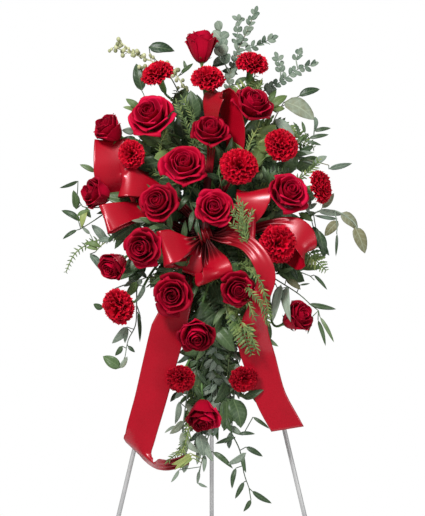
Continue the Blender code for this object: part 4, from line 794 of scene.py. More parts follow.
def cup_petal(profile, curl, turn, span, grid, round_off, tuck):
    """A petal that stands in a cup round the bloom's axis and curls out at its rim. Its profile is its foot,
    belly, shoulder and rim, each as a distance from the axis and a height. Its curl is an angle and a
    radius, and span is half the turn that it covers."""
    foot, belly, shoulder, rim = profile
    curl_angle, curl_radius = curl
    wall_rows, curl_rows, columns = grid
    across = np.linspace(-1, 1, columns)[None, :]
    t = np.linspace(0, 1, wall_rows)[:, None]
    u = np.linspace(0, 1, curl_rows + 1)[1:, None]
    drop = round_off * np.abs(across) ** 2.6
    rim_r = rim[0] * (1 + tuck * across)
    rim_z = rim[1] * (1 - drop)
    belly_r, shoulder_r = belly[0] * (1 + tuck * across * 0.5), shoulder[0] * (1 + tuck * across)
    belly_z, shoulder_z = belly[1], shoulder[1] * (1 - drop)
    weights = ((1 - t) ** 3, 3 * t * (1 - t) ** 2, 3 * t * t * (1 - t), t ** 3)
    wall_r = weights[0] * foot[0] + weights[1] * belly_r + weights[2] * shoulder_r + weights[3] * rim_r
    wall_z = weights[0] * foot[1] + weights[1] * belly_z + weights[2] * shoulder_z + weights[3] * rim_z
    lean = np.arctan2(rim_r - shoulder_r, rim_z - shoulder_z)
    turned = lean + curl_angle * (0.45 + 0.55 * np.abs(across) ** 1.5) * u
    lip_r = rim_r + curl_radius * (np.cos(lean) - np.cos(turned))
    lip_z = rim_z + curl_radius * (np.sin(turned) - np.sin(lean))
    r = np.concatenate([wall_r, lip_r])
    z = np.concatenate([wall_z, lip_z])
    along = np.concatenate([t * 0.82, 0.82 + 0.18 * u])
    widening = 0.55 + 0.45 * np.sin(np.clip(along / 0.5, 0, 1) * math.pi / 2)
    narrowing = 1 - 0.14 * smooth(0.75, 1.0, along)
    angle = turn + across * span * widening * narrowing
    return r, z, angle, along, across


def add_petal(pile, foot, turn_to, surface, tint):
    """Adds a petal given by its distance, height and turn about the bloom's axis."""
    r, z, angle, along, across = surface
    local = np.stack([r * np.cos(angle), r * np.sin(angle), z], axis=-1)
    points = local @ np.array(turn_to).T + np.array(foot)
    pile.grid(points, along, across, tint)


def rose_petal(rng, radius, height, opened, ring, turn):
    """One petal of a ring of a rose."""
    _, open_rim, bud_rim, half_turn, roll = ring
    reach, rise = (b + (a - b) * opened for a, b in zip(open_rim, bud_rim))
    reach *= rng.uniform(0.90, 1.08)
    rim = (radius * reach, height * rise * rng.uniform(0.92, 1.04))
    inward = 1 - reach
    foot = (radius * (0.04 + 0.10 * reach), height * 0.10 * inward)
    belly = (rim[0] * (0.62 + 0.9 * inward ** 2), height * (0.06 + 0.20 * inward))
    shoulder = (rim[0] * (0.80 + 0.50 * inward ** 2), rim[1] * (0.84 - 0.16 * inward ** 2))
    curl = math.radians(roll * (0.45 + 0.55 * opened)) * rng.uniform(0.6, 1.3)
    curl_radius = radius * (0.03 + 0.065 * reach) * rng.uniform(0.8, 1.25)
    tuck = 0.26 * inward + 0.04 if reach < 0.3 else rng.uniform(0.02, 0.06)
    span = math.radians(half_turn) * rng.uniform(0.9, 1.1)
    r, z, angle, along, across = cup_petal((foot, belly, shoulder, rim), (curl, curl_radius), turn, span,
                                           ROSE_GRID, 0.05 + 0.12 * reach, tuck)
    wave = np.sin(across * math.pi * rng.uniform(0.8, 1.6) + rng.uniform(0, 6)) * along ** 3
    r = r + radius * 0.050 * reach * wave
    z = z + radius * reach * (0.035 * wave + 0.05 * np.exp(-(across / 0.18) ** 2) * along ** 6)
    return r, z, angle, along, across


def rose(name):
    """A rose of many petals, tightly wound at its heart, its outer petals rolled back at the rim."""
    rng = random.Random(name)
    _, size, _, _ = BLOOMS[name]
    radius = size * MM * WIDER_ROSES.get(name, 1.0)
    opened = OPENNESS.get(name, rng.uniform(0.85, 1.0))
    sink = BUD_SINK * radius * (1 - opened)
    height = radius * (BLOOM_HEIGHT["rose"] + BUD_EXTRA_HEIGHT * (1 - opened) ** 2) + sink
    turn_to = frame_along(bloom_axis(name), rng.uniform(0, 2 * math.pi))
    foot = bloom_foot(name) - bloom_axis(name) * sink
    pile = Pile()
    # The lit roses get brighter tints, a painted light
    tints = PAINTED_LIT_ROSE_TINTS if name in PAINTED_LIT_ROSES else ROSE_TINTS
    turn = 0.0
    for ring in ROSE_RINGS:
        turn += rng.uniform(0.3, 0.8)
        for _ in range(ring[0]):
            surface = rose_petal(rng, radius, height, opened, ring, turn + rng.uniform(-0.14, 0.14))
            tint = rng.uniform(*tints)
            # Painted light and shade: a petal facing the lit side gets a pale tint, the others a dark one,
            # and the heart's small inner rings stay darker as painted shade
            if name in PAINTED_LIT_SIDE_ROSES:
                way = turn_to @ Vector((math.cos(turn), math.sin(turn), 0))
                towards_lit_side = way.dot(heading(*PAINTED_LIT_SIDE_ROSES[name]))
                tint = float(smooth(0.1, 0.7, towards_lit_side)) * min(1, ring[0] / 4)
            add_petal(pile, foot, turn_to, surface, tint)
            turn += 2 * math.pi / ring[0]
    piece(name + "_petals", pile, "rose_petals", [name], PETAL_THICKNESS)


def carnation_petal(rng, radius, height, share, turn):
    """One of a carnation's petals: a fan on a narrow claw, ruffled and toothed along its rim."""
    last = 1 - math.cos(math.radians(CARNATION_LAST_ANGLE))
    down = math.acos(1 - share * last) + rng.uniform(-0.08, 0.08)
    out, up = math.sin(down), math.cos(down)
    size = rng.uniform(0.90, 1.03)
    rim = (radius * (0.05 + 0.88 * max(out, 0)) * size, height * (0.52 + 0.50 * up * size))
    span = min(2.2, 0.46 * radius / rim[0]) * rng.uniform(0.85, 1.15)
    claw = height * 0.35
    foot = (radius * 0.04, height * 0.02)
    belly = (rim[0] * 0.20, claw)
    shoulder = (rim[0] * 0.72, claw + (rim[1] - claw) * 0.80 + height * 0.06 * share)
    curl = (math.radians(20 + 30 * share), radius * 0.10)
    r, z, angle, along, across = cup_petal((foot, belly, shoulder, rim), curl, turn, span, CARNATION_GRID,
                                           0.06, rng.uniform(-0.05, 0.05))
    phase = rng.uniform(0, 6)
    waves = rng.uniform(2.2, 3.4)
    ruffle = (0.085 * np.sin(across * math.pi * waves + phase) * along ** 2.5
              + 0.035 * np.sin(across * math.pi * waves * 2.3 + phase * 2) * along ** 4)
    teeth = 0.030 * np.where(np.arange(across.size) % 2, 1.0, -1.0)[None, :] * smooth(0.85, 1.0, along)
    r = np.abs(r + radius * (ruffle * up + teeth * out))
    z = z + radius * (teeth * up - ruffle * out)
    return r, z, angle, along, across


def carnation(name):
    """A carnation: a dome of ruffled petals with toothed rims."""
    rng = random.Random(name)
    _, size, _, _ = BLOOMS[name]
    radius = size * MM
    height = radius * FLATTER_CARNATIONS.get(name, CARNATION_HEIGHT)
    turn_to = frame_along(bloom_axis(name), rng.uniform(0, 2 * math.pi))
    pile = Pile()
    # The flatter carnations get darker tints, a painted shade
    tints = PAINTED_SHADE_CARNATION_TINTS if name in FLATTER_CARNATIONS else CARNATION_TINTS
    turn = 0.0
    for k in range(CARNATION_PETALS):
        share = k / (CARNATION_PETALS - 1)
        surface = carnation_petal(rng, radius * CARNATION_SPREAD, height, share, turn)
        add_petal(pile, bloom_foot(name), turn_to, surface, rng.uniform(*tints))
        turn += GOLDEN_TURN + rng.uniform(-0.2, 0.2)
    piece(name + "_petals", pile, "carnation_petals", [name], PETAL_THICKNESS * 0.7)


# Stems

LEAF_GRID = (9, 5)
STEM_SIDES = 10
STEM_STEPS = 28
# The steps of a stem's curve while its bend is looked for
TRIED_STEPS = 9
SEPAL_LENGTH = 0.017
SEPAL_WIDTH = 0.006
SEPAL = dict(fold=0.2, arch=-0.12, widest=0.25, fullness=0.8, tint=(0.0, 1.0), grid=(7, 3))
# The green cup under a bloom: how far back from the bloom, and the stem's radius there
CALYX = {
    "rose": ((0.028, 0.0025), (0.019, 0.0026), (0.015, 0.0036), (0.011, 0.0060), (0.007, 0.0064),
             (0.003, 0.0054), (0.0, 0.0080)),
    "carnation": ((0.028, 0.0030), (0.024, 0.0046), (0.021, 0.0060), (0.012, 0.0066), (0.004, 0.0068),
                  (0.0, 0.0076)),
}


def stem_curve(mouth, out, foot, axis, first_hold, last_hold, sway, count):
    """A stem from the foam to the calyx under its bloom, through a curve that sways to one side."""
    start = mouth + out * STEM_RUN_OUT
    end = foot - axis * CALYX_LENGTH
    distance = (end - start).length
    first = start + out * distance * first_hold + sway
    second = end - axis * distance * last_hold + sway
    return [start, *bezier(start, first, second, end, count)]


def leaf_grid(root, way, facing, length, width, shape, rng):
    """A leaf's grid, folded at its midrib and arched, bent a little to one side and twisted."""
    rows, columns = shape.get("grid", LEAF_GRID)
    t = np.linspace(0, 1, rows)[:, None, None]
    across = np.linspace(-1, 1, columns)[None, :, None]
    along = way.normalized()
    side = along.cross(facing).normalized()
    up = np.array(side.cross(along))
    along, side, start = np.array(along), np.array(side), np.array(root)
    power = math.log(0.5) / math.log(shape["widest"])
    half = width / 2 * np.clip(np.sin(math.pi * t ** power), 0, 1) ** shape["fullness"]
    twist = rng.uniform(-0.5, 0.5) * t
    swept = side * np.cos(twist) + up * np.sin(twist)
    lifted = up * np.cos(twist) - side * np.sin(twist)
    wave = 0.04 * np.sin(9 * t + rng.uniform(0, 6)) * across ** 2
    rise = shape["arch"] * length * (np.sin(math.pi * t) - rng.uniform(0.2, 1.4) * t * t)
    points = (start + along * length * t + swept * half * across
              + side * rng.uniform(-0.10, 0.10) * length * t * t
              + up * rise + lifted * (half * np.abs(across) * shape["fold"] + width * wave))
    return points, t[..., 0], across[..., 0]


def add_leaf(pile, root, way, facing, length, width, shape, rng):
    """Adds a leaf to a pile."""
    leaf = leaf_grid(root, way, facing, length, width, shape, rng)
    pile.grid(*leaf, rng.uniform(*shape["tint"]))


def sepals(rng, pile, foot, axis):
    """Five narrow sepals that stand out and down from under a rose."""
    start = rng.uniform(0, 2 * math.pi)
    side = axis.orthogonal().normalized()
    for k in range(5):
        out = Matrix.Rotation(start + 2 * math.pi * k / 5, 3, axis) @ side
        way = out * 0.9 + axis * rng.uniform(-0.5, 0.5)
        add_leaf(pile, foot + out * 0.006 - axis * 0.002, way, axis, SEPAL_LENGTH, SEPAL_WIDTH, SEPAL, rng)


def stem_row(group):
    """One row of stems, each along the bend that its stem has in the model, with calyxes and sepals."""
    mouth, out, row, names = STEM_GROUPS[group]
    out, row = heading(*out), heading(*row)
    tree = tree_of(group)
    pile = Pile()
    for i, name in enumerate(names):
        rng = random.Random(name + " stem")
        axis, foot = bloom_axis(name), bloom_foot(name)
        start = mouth_of(*mouth) + row * (i - (len(names) - 1) / 2) * STEM_SPACING
        tries = [(first, last, sway) for first, last in HOLDS for sway in sways()]
        bend = min(tries, key=lambda tried: distance_to(
            tree, stem_curve(start, out, foot, axis, *tried, TRIED_STEPS)))
        curve = stem_curve(start, out, foot, axis, *bend, STEM_STEPS)
        route = [start - out * STEM_DEPTH_IN_FOAM, *curve[:-1]]
        cup = [(foot - axis * back, radius) for back, radius in CALYX[kind_of(name)]]
        radii = [STEM_RADIUS * rng.uniform(0.96, 1.04) for _ in route] + [radius for _, radius in cup]
        pile.tube([*route, *(point for point, _ in cup)], radii, rng.random(), STEM_SIDES)
        if kind_of(name) == "rose":
            sepals(rng, pile, foot, axis)
    piece(group + "_cut", pile, "stem_green", [group])


# Ribbon

RIBBON_THICKNESS = 0.0007
RIBBON_STEP = 0.006
RIBBON_COLUMNS = 21
# The folds that take up a gathered ribbon's width, and the height of the highest
FOLDS = 3
MOST_FOLD = 0.0042
# How high the ribbon's middle stands above its edges, as a share of its half width, and its ripples' height
CROWN = 0.035
RIPPLE = 0.0007
# The most that a ribbon may be cut slantwise
SKEW = 0.7
# The knot's band: its width, the turns that it makes and the steps that it is made in
BAND_TURNS = 1.04
BAND_STEPS = 40


def ribbon_grid(centres, sides, halves, rng):
    """A ribbon along its centres. Where it is gathered its width is taken up in folds that fade out of
    it. Where its side isn't square to its run, it is cut slantwise by as much, and keeps its width."""
    centres = [Vector(c) for c in centres]
    last = len(centres) - 1
    across = np.linspace(-1, 1, RIBBON_COLUMNS)
    phase, lean = rng.uniform(0, 6), rng.uniform(-0.5, 0.5)
    walked = 0.0
    rows = []
    for i, (centre, side, half) in enumerate(zip(centres, sides, halves)):
        run = (centres[min(i + 1, last)] - centres[max(i - 1, 0)]).normalized()
        square = side - run * side.dot(run)
        up = np.array(run.cross(square).normalized())
        slant = max(-SKEW, min(SKEW, side.dot(run) / square.length))
        side = square.normalized() + run * slant
        share = half / RIBBON_HALF_WIDTH
        fold = half / (FOLDS * math.pi) * math.sqrt(max(0.0, 2 * (share ** -2 - 1)))
        fold = min(MOST_FOLD, fold) * float(smooth(0.56, 0.30, share))
        creases = fold * np.sin(across * FOLDS * math.pi + phase + lean * walked * 30)
        crown = CROWN * half * (1 - across ** 2)
        ripple = RIPPLE * share * np.sin(walked * 38 + across * 1.7 + phase)
        relief = creases + crown + ripple
        rows.append(np.array(centre) + np.outer(across * half, side) + np.outer(relief, up))
        if i < last:
            walked += (centres[i + 1] - centre).length
    return np.array(rows), walked


def ribbon(name, grid, length, halves, nodes):
    """A piece of satin ribbon from its grid. Its tint is its share of full width."""
    pile = Pile()
    along = np.linspace(0, length / 0.1, len(grid))[:, None]
    pile.grid(grid, along, np.linspace(-1, 1, RIBBON_COLUMNS)[None, :],
              np.array(halves)[:, None] / RIBBON_HALF_WIDTH)
    made = piece(name, pile, "ribbon_satin", nodes, RIBBON_THICKNESS)


def bow_loop(name):
    """One of the bow's loops, gathered at the knot, its width turning as it goes out and comes back."""
    points, going, coming, opens_by = LOOPS[name]
    knot = place(*KNOT_PLACE)
    outer = [place(*p) for p in points]
    ends = [knot + (p - knot).normalized() * ROOT_IN_KNOT for p in (outer[0], outer[-1])]
    centres = smooth_route([ends[0], *outer, ends[1]], RIBBON_STEP)
    halves, sides = [], []
    for i, centre in enumerate(centres):
        share = min(1.0, (centre - knot).length / opens_by) ** OPENING_POWER
        halves.append(RIBBON_HALF_WIDTH * (GATHERED_SHARE + (1 - GATHERED_SHARE) * share))
        side = heading(*going).lerp(heading(*coming), float(smooth(0.3, 0.7, i / len(centres))))
        run = (centres[min(i + 1, len(centres) - 1)] - centres[max(i - 1, 0)]).normalized()
        sides.append((side - run * side.dot(run)).normalized())
    grid, length = ribbon_grid(centres, sides, halves, random.Random(name))
    ribbon("bow_loop_" + name, grid, length, halves, ["bow"])


def bow_knot():
    """The band that ties the loops together at the knot."""
    centre = place(*KNOT_PLACE)
    run, out = heading(1, 0.35, 0), heading(0, 0, 1)
    side = run.cross(out)
    centres = []
    for k in range(BAND_STEPS + 1):
        angle = 2 * math.pi * BAND_TURNS * k / BAND_STEPS
        radius = KNOT_RADIUS * (1.02 + 0.06 * k / BAND_STEPS)
        centres.append(centre + side * math.cos(angle) * radius + out * math.sin(angle) * radius * 1.15)
    halves = [KNOT_RADIUS] * len(centres)
    grid, length = ribbon_grid(centres, [run] * len(centres), halves, random.Random("knot"))
    ribbon("bow_knot", grid, length, halves, ["bow"])


def distances_along(points):
    """How far along a route each of its points lies."""
    return np.concatenate([[0], np.cumsum([(b - a).length for a, b in zip(points, points[1:])])])


def tail(name):
    """One of the two tails, through its stations on a smooth curve."""
    points, sides, shares = zip(*TAILS[name])
    stations = [place(*point) for point in points]
    ways = [heading(*side) for side in sides]
    centres = smooth_route(stations, RIBBON_STEP)
    known, steps = distances_along(stations), distances_along(centres)
    steps = steps * known[-1] / steps[-1]
    halves = np.interp(steps, known, shares) * RIBBON_HALF_WIDTH
    turns = [np.interp(steps, known, [way[axis] for way in ways]) for axis in range(3)]
    grid, length = ribbon_grid(centres, [Vector(way) for way in zip(*turns)], halves, random.Random(name))
    ribbon(name + "_satin", grid, length, halves, [name])


# Greenery

# A fern's leaflets
FROND_SPACING = 0.0075
PINNA_WIDTH_SHARE = 0.34
PINNA_LOBES = 0.45
PINNA = dict(fold=0.12, arch=0.05, widest=0.34, fullness=0.6, grid=(8, 3))
# Seed heads and their stalks
BERRY_SPACING = 0.010
BERRY_RADII = (0.0026, 0.0048)
BERRY_STALK_LENGTHS = (0.003, 0.008)
BERRY_STALK_RADII = (0.0005, 0.0004)
# Twigs, and how much of each is bare at its foot
SIDE_TWIG_RADIUS = 0.0013
TWIG_TIP_SHARE = 0.55
TWIG_STEP = 0.008
BARE_TWIG = 0.060
BARE_SIDE_TWIG = 0.008
# The sprays that have no twig in the model
SPRAY_RADIUS = 0.0011
BARE_SPRAY = 0.02
# The edge leaves and their stalks
BLADE = dict(fold=0.16, arch=0.12, widest=0.42, fullness=0.70)
STALK_RADIUS = 0.0008
STALK_SAG = 0.002
# Points on the leafy stems' twigs, kept as they are made
TWIG_POINTS = []


def leaf_stations(route, spacing, bare):
    """Where leaves grow down a twig: each place, the twig's run there and its side, 0 at the tip."""
    spots = []
    walked, due, side = 0.0, bare + spacing, 1
    for start, end in zip(route, route[1:]):
        run = (end - start).length
        while due <= walked + run:
            spots.append((start.lerp(end, (due - walked) / run), (end - start).normalized(), side))
            side = -side
            due += spacing
        walked += run
    spots.append((route[-1], (route[-1] - route[-2]).normalized(), 0))
    return spots


def grow_leaves(rng, pile, route, shape, bare):
    """Leaves down both sides of a twig: round leaves in pairs, the longer ones in turn."""
    paired = shape in (COIN, BEAD, PLUME)
    for spot, along, side in leaf_stations(route, shape["spacing"] * MM, bare):
        sides = (1, -1) if paired and side else (side,)
        for hand in sides:
            view = heading(rng.uniform(-0.7, 0.7), rng.uniform(-0.7, 0.7), 1)
            lean = hand * math.radians(rng.uniform(32, 62)) if hand else rng.uniform(-0.2, 0.2)
            way = (Matrix.Rotation(lean, 3, view) @ along + view * rng.uniform(-0.25, 0.35)).normalized()
            length = shape["length"] * MM * rng.uniform(0.80, 1.12)
            width = shape["width"] * MM * rng.uniform(0.85, 1.08)
            add_leaf(pile, spot, way, view, length, width, shape, rng)


def ball(pile, centre, radius, tint):
    """A small round seed head, a little longer than wide."""
    ways = [(math.sin(a), math.cos(a)) for a in np.linspace(0, math.pi, 7)]
    rows = [[tuple(centre + Vector((across * math.cos(b), across * math.sin(b), up * 1.15)) * radius)
             for b in np.linspace(0, 2 * math.pi, 9)] for across, up in ways]
    pile.grid(np.array(rows), 0.5, 0.5, tint)


def grow_berries(rng, pile, route, bare):
    """Seed heads in twos and threes on short stalks along a sprig."""
    for spot, along, _ in leaf_stations(route, BERRY_SPACING, bare):
        for _ in range(rng.choice((2, 3))):
            way = Vector([rng.uniform(-1, 1) for _ in range(3)]).normalized()
            radius = rng.uniform(*BERRY_RADII)
            head = spot + way * (radius + rng.uniform(*BERRY_STALK_LENGTHS)) + along * 0.004
            pile.tube([spot, head], BERRY_STALK_RADII, rng.random(), sides=5)
            ball(pile, head, radius, rng.random())


def grow_frond(rng, pile, route, shape):
    """A fern frond: paired leaflets down its rib, longest near its foot, each with a lobed edge."""
    fine = smooth_route(route, FROND_SPACING)
    last = len(fine) - 1
    for i, centre in enumerate(fine[1:], 1):
        run = (fine[min(i + 1, last)] - fine[i - 1]).normalized()
        facing = heading(rng.uniform(-0.12, 0.12), rng.uniform(-0.12, 0.12), 1)
        share = math.sin(math.pi * (0.22 + 0.76 * i / last)) ** 0.75
        for hand in (1, -1):
            way = Matrix.Rotation(hand * math.radians(rng.uniform(56, 68)), 3, facing) @ run
            length = shape["reach"] * MM * share * rng.uniform(0.85, 1.1) + 0.004
            width = length * PINNA_WIDTH_SHARE
            points, t, across = leaf_grid(centre, way - facing * 0.12, facing, length, width, PINNA, rng)
            notched = (np.arange(len(points)) % 2)[:, None, None] * np.abs(across)[..., None]
            midrib = points[:, 1:2]
            points = midrib + (points - midrib) * (1 - PINNA_LOBES * notched)
            pile.grid(points, t, across, rng.uniform(*shape["tint"]))


def twig_bend(tree, route):
    """The bend that a twig has in the model: how far it lies from the model's faces, and its points."""
    bends = ([route[0], route[1] + sway / 2, *[p + sway for p in route[2:]]] for sway in sways())
    return min(((distance_to(tree, smooth_route(bend, 0.02)[1:]), bend) for bend in bends),
               key=lambda found: found[0])


def grow(rng, pile, shape, fine, bare):
    """What grows on a twig."""
    if "berries" in shape:
        grow_berries(rng, pile, fine, bare)
    elif "reach" in shape:
        grow_frond(rng, pile, fine, shape)
    elif shape is not BARE:
        grow_leaves(rng, pile, fine, shape, bare)


def leafy_stem(name):
    """One leafy stem with all its twigs, each along the bend it has in the model."""
    finish_name, mouth, out, twigs = GREENERY[name]
    rng = random.Random(name)
    tree = tree_of(name)
    pile = Pile()
    moved = {}
    for number, (shape, points) in enumerate(twigs):
        if number:
            route = [moved[points[0]], *[place(*p) for p in points[1:]]]
            deep, bare, radius = [], BARE_SIDE_TWIG, SIDE_TWIG_RADIUS
        else:
            start, way = mouth_of(*mouth), heading(*out)
            route = [start + way * TWIG_RUN_OUT, *[place(*p) for p in points]]
            deep, bare, radius = [start - way * TWIG_DEPTH_IN_FOAM], BARE_TWIG, TWIG_RADIUS
        off, bent = twig_bend(tree, route)
        if off > FARTHEST_BEND or "free" in shape:
            bent = route
        moved.update(zip(points, bent if number else bent[1:]))
        fine = smooth_route(bent, TWIG_STEP)
        TWIG_POINTS.extend(fine)
        shares = np.linspace(1.0, TWIG_TIP_SHARE, len(deep) + len(fine))
        pile.tube([*deep, *fine], [radius * share for share in shares], rng.random(), sides=7)
        grow(rng, pile, shape, fine[len(fine) // 3:] if "reach" in shape else fine, bare)
    piece(name + "_leaves", pile, finish_name, [name], LEAF_THICKNESS)


# The low greenery that hides the foam: what grows on its sprays, material, how many, length, depth
FILLERS = {
    "filler_fern": (FROND, "dark_leaf", 21, (100, 165), (84, 104)),
    "filler_leaf": (SALAL, "dark_leaf", 22, (90, 150), (70, 112)),
    "filler_plume": (PLUME, "fern_green", 16, (90, 160), (90, 118)),
    "filler_back": (SALAL, "dark_leaf", 12, (90, 130), (20, 48)),
}
# The greenery that hangs between the tails: what grows on it, material, how many, length
HANGING = {
    "hanging_spray": (SPRAY, "grey_leaf", 8, (150, 330)),
    "hanging_ruscus": (LANCE, "dark_leaf", 7, (170, 330)),
    "hanging_fern": (FROND, "dark_leaf", 7, (120, 240)),
    "hanging_salal": (SALAL, "dark_leaf", 3, (190, 290)),
    "hanging_plume": (PLUME, "fern_green", 4, (140, 260)),
}
# Half the width and height that the fillers' feet cover on the foam, and how deep in it they stand
FILLER_SPREAD = (46, 108)
FILLER_DEPTH = 8
# The height at which the hanging sprays leave the foam
HANGING_HEIGHT = -112
# How far from the foam's middle an accent's foot may be, to the side and up or down, and its depth
ACCENT_FOOT = (46, 106, 76)
# Single sprays that show between the blooms: what grows on them, material, and each one's points past its
# foot in the foam
ACCENTS = {
    "accent_plume": (PLUME, "fern_green", [
        [(72, -84, 160), (66, -60, 184), (52, 8, 186)],
        [(66, -80, 158), (58, -40, 186), (38, -6, 182)],
        [(66, -80, 158), (56, -50, 184), (40, -36, 184)],
        [(70, -80, 158), (68, -44, 184), (78, -12, 184)],
        [(70, -80, 158), (62, -34, 186), (61, 0, 188)],
        [(60, -110, 150), (92, -146, 196), (100, -166, 194), (112, -212, 180)],
        [(56, -130, 140), (74, -168, 184), (96, -192, 186), (108, -224, 172)],
        [(50, -150, 130), (70, -184, 164), (82, -214, 164)],
        [(48, -190, 110), (60, -226, 140), (78, -252, 148), (88, -276, 140)],
        [(64, 100, 120), (76, 136, 138), (92, 168, 142)],
        [(60, 190, 110), (84, 236, 122), (98, 262, 128)],
        [(-90, 100, 120), (-104, 128, 138), (-92, 156, 140)],
        [(-30, 150, 110), (-40, 200, 120), (-58, 232, 122)],
        [(150, 60, 120), (196, 84, 126), (214, 104, 122)],
        [(-60, -100, 110), (-92, -128, 120), (-110, -132, 122)],
        [(-30, -200, 60), (-36, -330, 60), (-46, -430, 66), (-64, -490, 74)],
        [(-34, -240, 58), (-44, -380, 58), (-60, -460, 64), (-84, -488, 76)],
    ]),
    "accent_broad": (SALAL, "fern_green", [
        [(-60, 100, 110), (-88, 122, 122), (-104, 136, 124)],
        [(-40, 110, 110), (-70, 134, 124), (-80, 140, 126)],
        [(64, 90, 110), (82, 122, 126), (90, 134, 128)],
        [(70, 80, 104), (96, 100, 120), (108, 112, 122)],
    ]),
    "accent_fern": (FROND, "fern_green", [
        [(50, -190, 100), (62, -240, 134), (78, -284, 132)],
        [(60, -120, 130), (88, -112, 150), (96, -148, 156)],
        [(40, 200, 104), (62, 250, 112), (88, 282, 112)],
        [(170, -70, 112), (206, -96, 120), (226, -116, 118)],
    ]),
    "accent_dark": (LANCE, "dark_leaf", [
        [(-30, 60, 130), (-44, 24, 140), (-30, -14, 140)],
        [(20, 50, 130), (14, 84, 140), (26, 110, 142)],
        [(110, -20, 120), (120, 20, 124), (112, 60, 126)],
        [(30, -200, 110), (66, -240, 116), (90, -250, 112)],
        [(-50, -60, 120), (-84, -34, 140), (-110, -26, 150)],
        [(-40, -90, 116), (-60, -112, 126), (-84, -124, 126)],
    ]),
    "accent_pale": (SLIM_SALAL, "grey_leaf", [
        [(-30, -220, 60), (-46, -340, 66), (-56, -420, 64), (-52, -470, 60)],
        [(10, -240, 56), (2, -380, 60), (-14, -450, 58)],
    ]),
}
